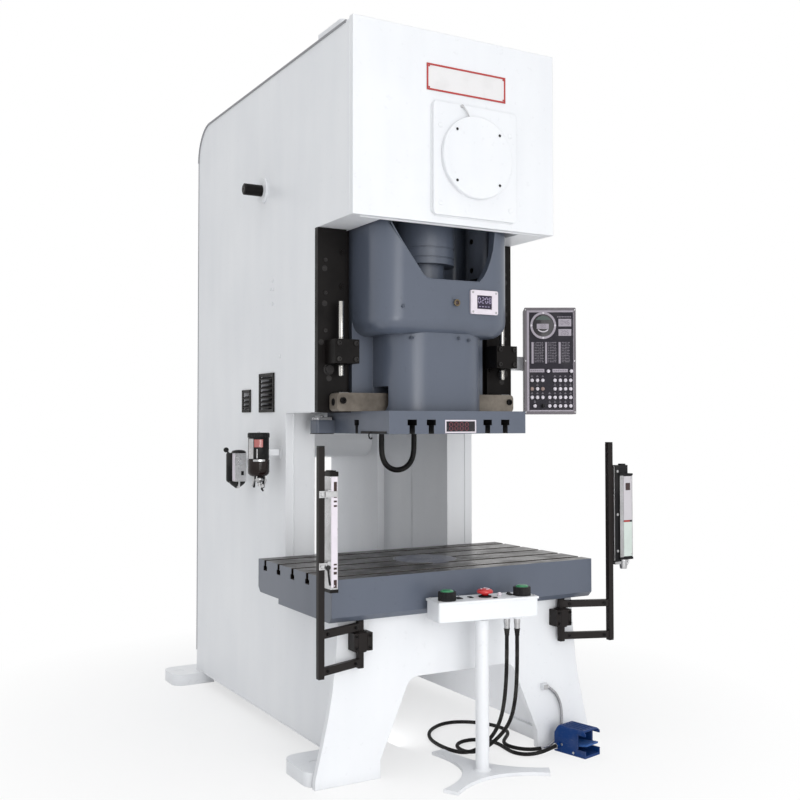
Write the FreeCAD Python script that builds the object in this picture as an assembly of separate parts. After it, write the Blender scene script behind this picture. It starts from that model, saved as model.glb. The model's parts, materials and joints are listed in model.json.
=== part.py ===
"""Mechanical stamping press: a C-frame crank press with a slide, a bolster and its guards."""
import FreeCAD, Part
import os
from math import acos, atan2, cos, degrees, pi, radians, sin, sqrt, tan

V = FreeCAD.Vector
X, Y, Z = V(1, 0, 0), V(0, 1, 0), V(0, 0, 1)

# --- Driving dimensions, in mm. Y starts at the head's front face, Z at the floor. ---
FRAME_WIDTH = 1000.0
PLATE = 40.0
HALF = FRAME_WIDTH / 2.0
INNER = HALF - PLATE
FRAME_TOP = 3032.0
FRAME_REAR = 1900.0
HEAD_HEIGHT = 794.0
HEAD_BOTTOM = FRAME_TOP - HEAD_HEIGHT
HEAD_STEP = 9.0
HEAD_TOP = FRAME_TOP + HEAD_STEP
HEAD_PLATE = 30.0
REAR_CORNER_R = 180.0
THROAT_REAR = 668.0
NOSE_DROP = 1582.0
NOSE_BOTTOM = FRAME_TOP - NOSE_DROP
GIB_PLANE = 358.0
BED_TOP = 640.0
BED_FRONT = 5.0
BED_PLATE = 40.0
BED_FRONT_PLATE = 25.0
SHEET = 30.0
FLOOR_SHEET = 12.0

FOOT_THICKNESS = 56.0
FRONT_FOOT = (5.0, 270.0, HALF + 185.0)
REAR_FOOT = (FRAME_REAR - 115.0, FRAME_REAR + 105.0, HALF + 160.0)
FOOT_INNER = HALF - 60.0
FOOT_CORNER_R = 60.0
ANCHOR_X = HALF + 100.0
ANCHOR_FRONT_Y = 135.0
ANCHOR_REAR_Y = FRAME_REAR - 5.0
ANCHOR_HOLE_R = 21.0

STROKE = 200.0
CRANK_DROP = 502.0
CRANK_Z = FRAME_TOP - CRANK_DROP
FIT = 0.05
RUNNING_GAP = 0.3
FRONT_JOURNAL_R = 75.0
REAR_JOURNAL_R = 85.0
CRANK_PIN_R = 70.0
WEB_R = 190.0
WEB = 70.0
ROD_Y = 287.0
ROD_EYE_WIDTH = 160.0
ROD_EYE_R = 125.0
ROD_BARREL_R = 134.0
ROD_FOOT_R = 90.0
GEAR_TEETH = 60
PINION_TEETH = 15
MODULE = 14.0
TOOTH_THICKNESS = 0.39 * pi * MODULE
PINION_Z = CRANK_Z - MODULE * (GEAR_TEETH + PINION_TEETH) / 2.0
GEAR_FRONT = 740.0
GEAR_WIDTH = 120.0
PINION_SHAFT_R = 45.0
FLYWHEEL_R = 400.0
FLYWHEEL_FRONT = 1350.0
FLYWHEEL_WIDTH = 110.0
REAR_CROSS_Y = 1300.0
MOTOR_DROP = 312.0
MOTOR_Z = FRAME_TOP - MOTOR_DROP
MOTOR_R = 120.0
MOTOR_SHAFT_R = 24.0
PULLEY_R = 90.0
BELT = 8.0

SLIDE_INSET = 162.0
SLIDE_HALF = HALF - SLIDE_INSET
SLIDE_PLATE_FRONT = -6.0
SLIDE_PLATE_DEPTH = 580.0
SLIDE_PLATE = 95.0
SLIDE_FACE_DROP = 1673.0
SLIDE_FACE_Z = FRAME_TOP - SLIDE_FACE_DROP
SLIDE_SEAT_Z = SLIDE_FACE_Z + SLIDE_PLATE
SLIDE_WING_REAR = 560.0
SLIDE_WING_FRONT = 328.0
WEB_CLEARANCE = 10.0
SLIDE_TOP = CRANK_Z - WEB_R - WEB_CLEARANCE
BULGE_FRONT = 65.0
BULGE_HEIGHT = 551.0
BULGE_BOTTOM = SLIDE_TOP - BULGE_HEIGHT
BULGE_CORNER_R = 115.0
SHOULDER_R = 70.0
NECK_INSET = 102.0
NECK_HALF = SLIDE_HALF - NECK_INSET
NECK_FRONT = 100.0
NECK_CORNER_R = 143.0
WELL_WALL = 48.0
WELL_HALF = SLIDE_HALF - WELL_WALL
WELL_FRONT = 105.0
WELL_REAR = 460.0
WELL_DEPTH = 318.0
WELL_FLOOR = SLIDE_TOP - WELL_DEPTH
GUIDE_TONGUE = 22.0
GUIDE_TONGUE_GAP = 6.0
GUIDE_TONGUE_Y = (420.0, 480.0)
SHANK_HOLE_R = 30.0
SLIDE_SLOT_X = (140.0, 231.0)
SLIDE_CROSS_END = 100.0
SLIDE_SLOT_NECK = (26.0, 35.0)
SLIDE_SLOT_HEAD = (44.0, 24.0)

BAR_INSET = 50.0
BAR_HALF = HALF - BAR_INSET
BAR_DEPTH = 78.0
BAR_HEIGHT = 78.0
BAR_FRONT = 240.0
BAR_LIFT = 25.0
BAR_PLAY = 4.0
BAR_WAY_FRONT = 200.0
BAR_WAY_CORNER_R = 36.0
KNOCK_ROD_INSET = 86.0
ROD_X = HALF - KNOCK_ROD_INSET
ROD_Y_KNOCK = 279.0
KNOCK_ROD_R = 12.0
KNOCK_ROD_RISE = (150.0, 455.0)
KNOCK_ROD_Z = (NOSE_BOTTOM + KNOCK_ROD_RISE[0], NOSE_BOTTOM + KNOCK_ROD_RISE[1])

BOLSTER_OVERHANG = 133.0
BOLSTER_HALF = HALF + BOLSTER_OVERHANG
BOLSTER_FRONT = -88.0
BOLSTER_REAR_GAP = 10.0
BOLSTER_DEPTH = THROAT_REAR - BOLSTER_REAR_GAP - BOLSTER_FRONT
BOLSTER_THICKNESS = 166.0
BOLSTER_TOP = BED_TOP + BOLSTER_THICKNESS
BOLSTER_PAD_REAR = 431.0
BOLSTER_EDGE = 22.0
BOLSTER_SLOT_PITCH = 147.0
BOLSTER_SLOTS = 5
BOLSTER_CENTRE_Y = BOLSTER_FRONT + BOLSTER_DEPTH / 2.0
BOLSTER_SLOT_NECK = (24.0, 24.0)
BOLSTER_SLOT_HEAD = (40.0, 20.0)
DISC_R = 140.0
DISC_THICKNESS = 40.0

GATE_PIVOT = (HALF - 7.0, -50.0)
GATE_POST = (HALF + 198.0, -136.0)
POST_SIZE = 38.0
ARM_SIZE = 34.0
PIVOT_SIZE = 32.0

PANEL_FRONT = V(HALF + 140.0, 210.0, NOSE_BOTTOM + 240.0)
PANEL_WIDTH = 243.0
PANEL_HEIGHT = 477.0
PANEL_DEPTH = 60.0
PANEL_TURN = -30.15
PANEL_YOKE = 139.0

CONSOLE = V(-10.0, -200.0, 0.0)
CONSOLE_TURN = -8.0
CONSOLE_LENGTH = 480.0
CONSOLE_DEPTH = 120.0
CONSOLE_Z = (622.0, 715.0)
CONSOLE_COLUMN_R = 31.0
PALM_OFFSET = 175.0
PALM_R = 36.0
PALM_TRAVEL = 6.0
STOP_R = 34.0

HOSE_DIAMETER = 26.0
CABLE_DIAMETER = 16.0
CONDUIT_DIAMETER = 13.0

ANCHOR_CENTRE_Y = (ANCHOR_FRONT_Y + ANCHOR_REAR_Y) / 2.0
THROW = STROKE / 2.0


# --- Solids and cutters ---
def save(node, shape):
    """Write one piece, moved so that the origin lies amid the four anchor holes."""
    placed = shape.copy()
    placed.translate(V(0, -ANCHOR_CENTRE_Y, 0))
    placed.exportStep("parts/%s.step" % node)


def block(x0, x1, y0, y1, z0, z1):
    """A box between two corners."""
    low = V(min(x0, x1), min(y0, y1), min(z0, z1))
    return Part.makeBox(abs(x1 - x0), abs(y1 - y0), abs(z1 - z0), low)


def round_bar(start, direction, radius, length):
    return Part.makeCylinder(radius, length, start, direction)


def tube(start, direction, outer, inner, length):
    return round_bar(start, direction, outer, length).cut(round_bar(start, direction, inner, length))


def outline(points, sweep):
    """A solid from a closed outline of straight edges."""
    return Part.Face(Part.makePolygon(points + [points[0]])).extrude(sweep)


def outline_yz(points, x0, x1):
    return outline([V(x0, y, z) for y, z in points], V(x1 - x0, 0, 0))


def outline_xz(points, y0, y1):
    return outline([V(x, y0, z) for x, z in points], V(0, y1 - y0, 0))


def outline_xy(points, z0, z1):
    return outline([V(x, y, z0) for x, y in points], V(0, 0, z1 - z0))


def edges_at(shape, axis, places, tolerance=0.5):
    """The edges that run along an axis through places given by the other two coordinates."""
    others = [i for i in range(3) if i != "xyz".index(axis)]
    found = []
    for edge in shape.Edges:
        first, last = edge.Vertexes[0].Point, edge.Vertexes[-1].Point
        for a, b in places:
            near = [abs(p[others[0]] - a) + abs(p[others[1]] - b) < tolerance for p in (first, last)]
            if all(near) and first.distanceToPoint(last) > tolerance:
                found.append(edge)
    return found


def rounded(shape, radius, axis, places):
    return shape.makeFillet(radius, edges_at(shape, axis, places))


def mirrored(shape):
    """The same piece on the other side of the press."""
    return shape.mirror(V(0, 0, 0), X)


def turned(shape, angle, centre):
    turned_shape = shape.copy()
    turned_shape.rotate(centre, Z, angle)
    return turned_shape


def joined(shapes):
    return shapes[0].multiFuse(shapes[1:]).removeSplitter()


def group(shapes):
    return Part.makeCompound(shapes)


def hexagon(start, direction, across_flats, length):
    """A hexagonal bar."""
    side = direction.cross(Z) if abs(direction.z) < 0.5 else X
    side.normalize()
    other = direction.cross(side)
    corner_r = across_flats / sqrt(3.0)
    corners = []
    for i in range(6):
        angle = radians(60.0 * i)
        corners.append(start + side * (corner_r * cos(angle)) + other * (corner_r * sin(angle)))
    return outline(corners, direction * length)


def cap_screw(seat, inward, size, grip):
    """A socket head screw: seat is where the head meets the face, inward is the way in."""
    head_r = size * 0.75
    outward = inward * -1.0
    head = round_bar(seat, outward, head_r, size)
    socket = hexagon(seat + outward * (size * 0.5), outward, size * 0.8, size * 0.6)
    shank = round_bar(seat, inward, size / 2.0, grip)
    return head.cut(socket).fuse(shank)


def hex_screw(seat, inward, size, grip):
    """A hexagon head screw on a washer."""
    outward = inward * -1.0
    washer = round_bar(seat, outward, size, size * 0.15)
    head = hexagon(seat + outward * (size * 0.15), outward, size * 1.5, size * 0.65)
    shank = round_bar(seat, inward, size / 2.0, grip)
    return washer.fuse(head).fuse(shank)


def drilled(shape, seats, inward, size, grip):
    """Clearance holes for a set of screws."""
    for seat in seats:
        shape = shape.cut(round_bar(seat, inward, size / 2.0 + FIT, grip + 2.0))
    return shape


def cord(name, points, diameter):
    """A round cord along straight runs joined by arcs; returns the solid and prints its bends."""
    radius_list = []
    edges = []
    start = V(*points[0])
    for i in range(1, len(points) - 1):
        before, here, after = V(*points[i - 1]), V(*points[i]), V(*points[i + 1])
        toward, away = before - here, after - here
        shorter = min(toward.Length, away.Length)
        toward.normalize()
        away.normalize()
        half_turn = (pi - toward.getAngle(away)) / 2.0
        cut_back = 0.45 * shorter
        radius_list.append(cut_back / tan(half_turn))
        first = here + toward * cut_back
        last = here + away * cut_back
        middle_way = toward + away
        middle_way.normalize()
        reach = radius_list[-1] / cos(half_turn) - radius_list[-1]
        edges.append(Part.makeLine(start, first))
        edges.append(Part.Arc(first, here + middle_way * reach, last).toShape())
        start = last
    edges.append(Part.makeLine(start, V(*points[-1])))
    path = Part.Wire(edges)
    way = V(*points[1]) - V(*points[0])
    section = Part.Wire(Part.makeCircle(diameter / 2.0, V(*points[0]), way))
    solid = path.makePipeShell([section], True, False)
    ratio = solid.Volume / (pi * diameter ** 2 / 4.0 * path.Length)
    print("%s: length %.0f, least bend radius %.0f, volume over section times length %.4f"
          % (name, path.Length, min(radius_list), ratio))
    return solid


# --- Frame ---
def side_plate():
    """The right side plate of the frame, standing on its two feet."""
    profile = [(BED_FRONT, FOOT_THICKNESS), (FRAME_REAR, FOOT_THICKNESS), (FRAME_REAR, FRAME_TOP),
               (HEAD_PLATE, FRAME_TOP), (HEAD_PLATE, HEAD_BOTTOM), (GIB_PLANE, HEAD_BOTTOM),
               (GIB_PLANE, NOSE_BOTTOM), (THROAT_REAR, NOSE_BOTTOM), (THROAT_REAR, BED_TOP),
               (BED_FRONT, BED_TOP)]
    plate = rounded(outline_yz(profile, INNER, HALF), REAR_CORNER_R, "x", [(FRAME_REAR, FRAME_TOP)])
    pieces = [plate]
    for (front, rear, outer), anchor_y in ((FRONT_FOOT, ANCHOR_FRONT_Y), (REAR_FOOT, ANCHOR_REAR_Y)):
        foot = block(FOOT_INNER, outer, front, rear, 0, FOOT_THICKNESS)
        foot = rounded(foot, FOOT_CORNER_R, "z", [(outer, front), (outer, rear)])
        foot = foot.cut(round_bar(V(ANCHOR_X, anchor_y, 0), Z, ANCHOR_HOLE_R, FOOT_THICKNESS))
        pieces.append(foot)
    pieces.append(round_bar(V(HALF, LIFT_BAR[0], LIFT_BAR[1]), X, LIFT_RING_R, LIFT_RING))
    plate = joined(pieces)
    bar_hole = round_bar(V(0, LIFT_BAR[0], LIFT_BAR[1]), X, LIFT_BAR_R + FIT, HALF + LIFT_RING)
    return drilled(plate.cut(bar_hole), gib_seats(), Y, GIB_SCREW, GIB_GRIP)


LIFT_BAR = (944.0, FRAME_TOP - 522.0)
LIFT_BAR_R = 27.0
LIFT_BAR_OUT = 98.0
LIFT_RING_R = 60.0
LIFT_RING = 12.0

LARGE_VENT = (801.0, 983.0, NOSE_BOTTOM + 5.0, NOSE_BOTTOM + 188.0)
SMALL_VENT = (1098.0, 1208.0, NOSE_BOTTOM + 7.0, NOSE_BOTTOM + 117.0)
VENT_RIM = 14.0
VENT_FLANGE = 6.0
SLAT_PITCH = 22.0


def vent_opening(vent):
    y0, y1, z0, z1 = vent
    return block(-HALF, -INNER, y0 + VENT_RIM, y1 - VENT_RIM, z0 + VENT_RIM, z1 - VENT_RIM)


def vent_grille(vent):
    """A rimmed grille of slanting slats that closes one vent."""
    y0, y1, z0, z1 = vent
    rim = block(-HALF - VENT_FLANGE, -HALF, y0, y1, z0, z1)
    rim = rim.cut(block(-HALF - VENT_FLANGE, -HALF, y0 + VENT_RIM, y1 - VENT_RIM,
                        z0 + VENT_RIM, z1 - VENT_RIM))
    pieces = [rim]
    slats = int((z1 - z0 - 2 * VENT_RIM) / SLAT_PITCH)
    for i in range(slats):
        low = z0 + VENT_RIM + (i + 0.35) * SLAT_PITCH
        slat = outline([V(-HALF - VENT_FLANGE, y0 + VENT_RIM, low),
                        V(-HALF - VENT_FLANGE, y0 + VENT_RIM, low + 3.0),
                        V(-HALF + 8.0, y0 + VENT_RIM, low + 14.0),
                        V(-HALF + 8.0, y0 + VENT_RIM, low + 11.0)],
                       V(0, y1 - y0 - 2 * VENT_RIM, 0))
        pieces.append(slat)
    return joined(pieces)


PAD = (-136.0, 286.0, HEAD_BOTTOM + 32.0, HEAD_BOTTOM + 507.0)
PAD_THICKNESS = 20.0
PAD_CORNER_R = 18.0
COVER = (75.0, CRANK_Z - 5.0)
COVER_R = 175.0
COVER_THICKNESS = 22.0
COVER_HOLE_R = 120.0
COVER_SCREW_OFFSET = 107.5
BORE_BOSS_R = 130.0
BORE_BOSS = 70.0


def head_front_plate():
    """The thick front plate of the head, with the front main bearing behind it."""
    plate = block(-HALF, HALF, 0, HEAD_PLATE, HEAD_BOTTOM, HEAD_TOP)
    boss = round_bar(V(0, HEAD_PLATE, CRANK_Z), Y, BORE_BOSS_R, BORE_BOSS)
    bore = round_bar(V(0, 0, CRANK_Z), Y, FRONT_JOURNAL_R + FIT, HEAD_PLATE + BORE_BOSS)
    plate = plate.fuse(boss).cut(bore)
    return drilled(plate, PAD_SEATS, Y, PAD_SCREW, PAD_GRIP)


PAD_SCREW = 20.0
PAD_GRIP = 44.0
PAD_SEATS = [V(x, -PAD_THICKNESS, z) for x in (PAD[0] + 35.0, PAD[1] - 35.0)
             for z in (PAD[2] + 50.0, PAD[3] - 100.0)]
COVER_SCREW = 16.0
COVER_GRIP = 36.0
COVER_SEATS = [V(COVER[0] + sx * COVER_SCREW_OFFSET, -PAD_THICKNESS - COVER_THICKNESS,
                 COVER[1] + sz * COVER_SCREW_OFFSET) for sx in (-1, 1) for sz in (-1, 1)]


def head_pad():
    pad = block(PAD[0], PAD[1], -PAD_THICKNESS, 0, PAD[2], PAD[3])
    corners = [(x, z) for x in PAD[:2] for z in PAD[2:]]
    pad = rounded(pad, PAD_CORNER_R, "y", corners)
    pad = pad.cut(round_bar(V(COVER[0], -PAD_THICKNESS, COVER[1]), Y, COVER_HOLE_R, PAD_THICKNESS))
    pad = drilled(pad, PAD_SEATS, Y, PAD_SCREW, PAD_GRIP)
    return drilled(pad, COVER_SEATS, Y, COVER_SCREW, COVER_GRIP)


def round_cover():
    """A flat cap with a spigot that centres it in the pad."""
    front = -PAD_THICKNESS - COVER_THICKNESS
    cap = round_bar(V(COVER[0], front, COVER[1]), Y, COVER_R, COVER_THICKNESS)
    cap = cap.makeChamfer(4.0, [e for e in cap.Edges if abs(e.BoundBox.YMax - front) < 0.1])
    spigot = round_bar(V(COVER[0], -PAD_THICKNESS, COVER[1]), Y, COVER_HOLE_R - FIT, 14.0)
    return drilled(cap.fuse(spigot), COVER_SEATS, Y, COVER_SCREW, COVER_GRIP)


SLIDE_WINDOW = (SLIDE_HALF + 10.0, BULGE_FRONT - 10.0, THROAT_REAR - 28.0)


def head_bottom_plate():
    plate = block(-INNER, INNER, HEAD_PLATE, THROAT_REAR, HEAD_BOTTOM, HEAD_BOTTOM + SHEET)
    half, front, rear = SLIDE_WINDOW
    return plate.cut(block(-half, half, front, rear, HEAD_BOTTOM, HEAD_BOTTOM + SHEET))


HATCH = (HALF - 20.0, 150.0, 380.0, FRAME_TOP + 45.0)


def top_plate():
    """The roof, bent down at the rear, with a hatch near the front."""
    low = FRAME_TOP - REAR_CORNER_R
    below = low - SHEET
    inner_rear = FRAME_REAR - SHEET
    inner_top = FRAME_TOP - SHEET
    skin = block(-INNER, INNER, HEAD_PLATE, FRAME_REAR, below, FRAME_TOP)
    skin = rounded(skin, REAR_CORNER_R, "x", [(FRAME_REAR, FRAME_TOP)])
    hollow = block(-INNER, INNER, HEAD_PLATE, inner_rear, below, inner_top)
    hollow = rounded(hollow, REAR_CORNER_R - SHEET, "x", [(inner_rear, inner_top)])
    skin = skin.cut(hollow).cut(block(-INNER, INNER, HEAD_PLATE, FRAME_REAR, below, low))
    half, front, rear, top = HATCH
    hatch = block(-half, half, front, rear, FRAME_TOP, top)
    hatch = rounded(hatch, 12.0, "z", [(x, y) for x in (-half, half) for y in (front, rear)])
    return joined([skin, hatch])


MAIN_BOSS = (600.0, 732.0, 150.0)
PINION_BOSS_FRONT = (630.0, 80.0)
PINION_BOSS_REAR = (1240.0, 85.0)


def cross_plate():
    """The plate across the frame that holds the rear main bearing and the pinion's front bearing."""
    rear = THROAT_REAR + PLATE
    plate = block(-INNER, INNER, THROAT_REAR, rear, NOSE_BOTTOM, FRAME_TOP - SHEET)
    boss = round_bar(V(0, MAIN_BOSS[0], CRANK_Z), Y, MAIN_BOSS[2], MAIN_BOSS[1] - MAIN_BOSS[0])
    small = round_bar(V(0, PINION_BOSS_FRONT[0], PINION_Z), Y, PINION_BOSS_FRONT[1],
                      rear - PINION_BOSS_FRONT[0])
    solid = joined([plate, boss, small])
    solid = solid.cut(round_bar(V(0, MAIN_BOSS[0], CRANK_Z), Y, REAR_JOURNAL_R + FIT,
                                MAIN_BOSS[1] - MAIN_BOSS[0]))
    return solid.cut(round_bar(V(0, PINION_BOSS_FRONT[0] + 15.0, PINION_Z), Y, PINION_SHAFT_R + FIT,
                               rear - PINION_BOSS_FRONT[0]))


MOTOR_FLANGE_R = 150.0
MOTOR_REGISTER_R = 60.0


def rear_cross_plate():
    """The plate that holds the pinion's rear bearing and carries the motor."""
    rear = REAR_CROSS_Y + SHEET
    plate = block(-INNER, INNER, REAR_CROSS_Y, rear, NOSE_BOTTOM, FRAME_TOP - SHEET)
    boss = round_bar(V(0, PINION_BOSS_REAR[0], PINION_Z), Y, PINION_BOSS_REAR[1],
                     rear - PINION_BOSS_REAR[0])
    solid = joined([plate, boss])
    solid = solid.cut(round_bar(V(0, PINION_BOSS_REAR[0], PINION_Z), Y, PINION_SHAFT_R + FIT,
                                rear - PINION_BOSS_REAR[0]))
    return solid.cut(round_bar(V(0, REAR_CROSS_Y, MOTOR_Z), Y, MOTOR_REGISTER_R + FIT, SHEET))


REAR_WINDOW = (HALF - 184.0, NOSE_BOTTOM - 246.0)


def rear_plate():
    plate = block(-INNER, INNER, FRAME_REAR - SHEET, FRAME_REAR, FOOT_THICKNESS,
                  FRAME_TOP - REAR_CORNER_R)
    half, top = REAR_WINDOW
    return plate.cut(block(-half, half, FRAME_REAR - SHEET, FRAME_REAR, BED_TOP, top))


BED_EDGE = [(HALF + 72.0, BED_TOP), (HALF + 80.0, 525.0), (HALF + 97.0, 360.0), (HALF + 115.0, 260.0),
            (HALF + 138.0, 160.0), (HALF + 168.0, 40.0), (HALF + 170.0, 0.0)]
ARCH = [(385.0, 0.0), (385.0, 71.0), (250.0, 381.0)]
ARCH_CORNER_R = 60.0
CONDUIT_ELBOW = (400.0, 424.0, -46.0, 250.0, 274.0)
CONDUIT_START = (429.1, -34.3, 258.9)
CONDUIT_NEXT = (460.0, -36.0, 240.0)
ELBOW_NOSE = (9.0, 20.0)


def bed_front_plate():
    """The bed's front plate, flared towards the floor, with an arch between its two legs."""
    front = BED_FRONT - BED_FRONT_PLATE
    left = [(-x, z) for x, z in reversed(BED_EDGE)]
    plate = outline_xz(BED_EDGE + left, front, BED_FRONT)
    arch = outline_xz(ARCH + [(-x, z) for x, z in reversed(ARCH)], front, BED_FRONT)
    arch = rounded(arch, ARCH_CORNER_R, "y", [(ARCH[2][0], ARCH[2][1]), (-ARCH[2][0], ARCH[2][1])])
    x0, x1, y0, z0, z1 = CONDUIT_ELBOW
    elbow = block(x0, x1, y0, front, z0, z1)
    back = V(*CONDUIT_START) - V(*CONDUIT_NEXT)
    nose = round_bar(V(*CONDUIT_START), back, ELBOW_NOSE[0], ELBOW_NOSE[1])
    return joined([plate.cut(arch), elbow, nose])


def bed_top_plate():
    return block(-INNER, INNER, BED_FRONT, FRAME_REAR - SHEET, BED_TOP - BED_PLATE, BED_TOP)


COLUMN_INNER = HALF - 143.0
COLUMN_STEP_Y = 1319.0
COLUMN_SEAM = (1013.0, 6.0)


def column():
    """The right throat column, stepped inwards at the rear."""
    rear = FRAME_REAR - SHEET
    points = [(INNER, THROAT_REAR), (INNER, rear), (REAR_WINDOW[0], rear),
              (REAR_WINDOW[0], COLUMN_STEP_Y), (COLUMN_INNER, COLUMN_STEP_Y),
              (COLUMN_INNER, THROAT_REAR)]
    solid = outline_xy(points, BED_TOP, NOSE_BOTTOM)
    seam_y, seam = COLUMN_SEAM
    return solid.cut(block(COLUMN_INNER, COLUMN_INNER + seam, seam_y, seam_y + seam, BED_TOP,
                           NOSE_BOTTOM))


PAN_FRONT = 1381.0
PAN_BOTTOM = (NOSE_BOTTOM - 222.0, NOSE_BOTTOM - 245.0)
PAN_CORNER_R = 95.0


def oil_pan():
    """The floor under the gears, deepened into a pan under the flywheel."""
    rear = FRAME_REAR - SHEET
    half = REAR_WINDOW[0]
    low = NOSE_BOTTOM - FLOOR_SHEET
    profile = [(PAN_FRONT, NOSE_BOTTOM), (PAN_FRONT, PAN_BOTTOM[0]), (rear, PAN_BOTTOM[1]),
               (rear, NOSE_BOTTOM)]
    pan = rounded(outline_yz(profile, -half, half), PAN_CORNER_R, "x", [(PAN_FRONT, PAN_BOTTOM[0])])
    inner = [(PAN_FRONT + FLOOR_SHEET, NOSE_BOTTOM), (PAN_FRONT + FLOOR_SHEET, PAN_BOTTOM[0] + FLOOR_SHEET),
             (rear - FLOOR_SHEET, PAN_BOTTOM[1] + FLOOR_SHEET), (rear - FLOOR_SHEET, NOSE_BOTTOM)]
    hollow = rounded(outline_yz(inner, -half + FLOOR_SHEET, half - FLOOR_SHEET),
                     PAN_CORNER_R - FLOOR_SHEET, "x",
                     [(PAN_FRONT + FLOOR_SHEET, PAN_BOTTOM[0] + FLOOR_SHEET)])
    floor = block(-COLUMN_INNER, COLUMN_INNER, THROAT_REAR + PLATE, COLUMN_STEP_Y, low, NOSE_BOTTOM)
    bridge = block(-half, half, COLUMN_STEP_Y, PAN_FRONT, low, NOSE_BOTTOM)
    return joined([pan.cut(hollow), floor, bridge])


# --- Guides and knock-out ---
GIB_FLANGE_INNER = HALF - 136.0
GIB_SCREWS = [(HALF - 32.0, HEAD_BOTTOM - 174.0), (HALF - 32.0, HEAD_BOTTOM - 324.0),
              (HALF - 16.0, NOSE_BOTTOM + 298.0)]
GIB_NUTS = [(HALF - 53.0, NOSE_BOTTOM + 145.0)]
GIB_SCREW = 24.0
GIB_GRIP = 60.0
BRACKET = (HALF - 148.0, HALF - 35.0, 230.0, NOSE_BOTTOM + 205.0, NOSE_BOTTOM + 307.0)
BRACKET_SCREW = 14.0
BRACKET_GRIP = 120.0
BRACKET_SCREW_INSET = 17.0


def gib_seats():
    return [V(x, SLIDE_WING_FRONT, z) for x, z in GIB_SCREWS]


def nut_seats():
    return [V(x, SLIDE_WING_FRONT, z) for x, z in GIB_NUTS]


def bracket_seats():
    x0, x1, front, z0, z1 = BRACKET
    inset = BRACKET_SCREW_INSET
    return [V(x, front, z) for x in (x0 + inset, x1 - inset) for z in (z0 + inset, z1 - inset)]


def gib():
    """The right gib: a front flange, a guide block and a tongue that runs in the slide's groove."""
    flange = block(GIB_FLANGE_INNER, HALF, SLIDE_WING_FRONT, GIB_PLANE, NOSE_BOTTOM, HEAD_BOTTOM)
    face = SLIDE_HALF + RUNNING_GAP
    guide = block(face, INNER, GIB_PLANE, SLIDE_WING_REAR, NOSE_BOTTOM, HEAD_BOTTOM)
    tongue = block(face - GUIDE_TONGUE, face, GUIDE_TONGUE_Y[0] + RUNNING_GAP,
                   GUIDE_TONGUE_Y[1] - RUNNING_GAP, SLIDE_SEAT_Z + GUIDE_TONGUE_GAP, HEAD_BOTTOM)
    solid = joined([flange, guide, tongue])
    solid = drilled(solid, gib_seats() + nut_seats(), Y, GIB_SCREW, GIB_GRIP)
    return drilled(solid, bracket_seats(), Y, BRACKET_SCREW, BRACKET_GRIP)


def knockout_bracket():
    x0, x1, front, z0, z1 = BRACKET
    solid = block(x0, x1, front, SLIDE_WING_FRONT, z0, z1)
    solid = solid.cut(round_bar(V(ROD_X, ROD_Y_KNOCK, z0), Z, KNOCK_ROD_R + FIT, z1 - z0))
    return drilled(solid, bracket_seats(), Y, BRACKET_SCREW, BRACKET_GRIP)


def knockout_rod():
    """A threaded stop rod with its lock nut, set with a wrench."""
    low, high = KNOCK_ROD_Z
    shaft = round_bar(V(ROD_X, ROD_Y_KNOCK, low), Z, KNOCK_ROD_R, high - low)
    shaft = shaft.makeChamfer(2.5, [e for e in shaft.Edges if e.Curve.TypeId == "Part::GeomCircle"])
    nut = hexagon(V(ROD_X, ROD_Y_KNOCK, BRACKET[4]), Z, 36.0, 18.0)
    return shaft.fuse(nut)


def frame_bolts():
    """Every screw on the head pad, the round cover, the gibs and the knock-out brackets."""
    screws = [cap_screw(seat, Y, PAD_SCREW, PAD_GRIP) for seat in PAD_SEATS]
    screws += [cap_screw(seat, Y, COVER_SCREW, COVER_GRIP) for seat in COVER_SEATS]
    right = [cap_screw(seat, Y, GIB_SCREW, GIB_GRIP) for seat in gib_seats()]
    right += [hex_screw(seat, Y, GIB_SCREW, GIB_GRIP) for seat in nut_seats()]
    right += [cap_screw(seat, Y, BRACKET_SCREW, BRACKET_GRIP) for seat in bracket_seats()]
    return group(screws + right + [mirrored(screw) for screw in right])


def knockout_bar():
    """The bar that crosses the slide and pushes the work out of the upper die."""
    solid = block(-BAR_HALF, BAR_HALF, BAR_FRONT, BAR_FRONT + BAR_DEPTH, SLIDE_SEAT_Z,
                  SLIDE_SEAT_Z + BAR_HEIGHT)
    ends = [(x, z) for x in (-BAR_HALF, BAR_HALF) for z in (SLIDE_SEAT_Z, SLIDE_SEAT_Z + BAR_HEIGHT)]
    return rounded(solid, 18.0, "y", ends)


# --- Drive ---
def toothed_wheel(teeth, centre_z, first_angle, front, width):
    """A spur wheel with straight-flanked teeth; first_angle is the direction of one tooth."""
    pitch_r = MODULE * teeth / 2.0
    tip_r = pitch_r + MODULE
    root_r = pitch_r - 1.25 * MODULE
    half_pitch_tooth = TOOTH_THICKNESS / 2.0
    slope = tan(radians(20.0))
    half_tip = half_pitch_tooth - MODULE * slope
    half_root = half_pitch_tooth + 1.25 * MODULE * slope
    points = []
    for i in range(teeth):
        angle = radians(first_angle) + 2.0 * pi * i / teeth
        for r, half in ((root_r, -half_root), (tip_r, -half_tip), (tip_r, half_tip), (root_r, half_root)):
            around = angle + half / r
            points.append(V(r * cos(around), front, centre_z + r * sin(around)))
    return outline(points, V(0, width, 0))


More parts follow.
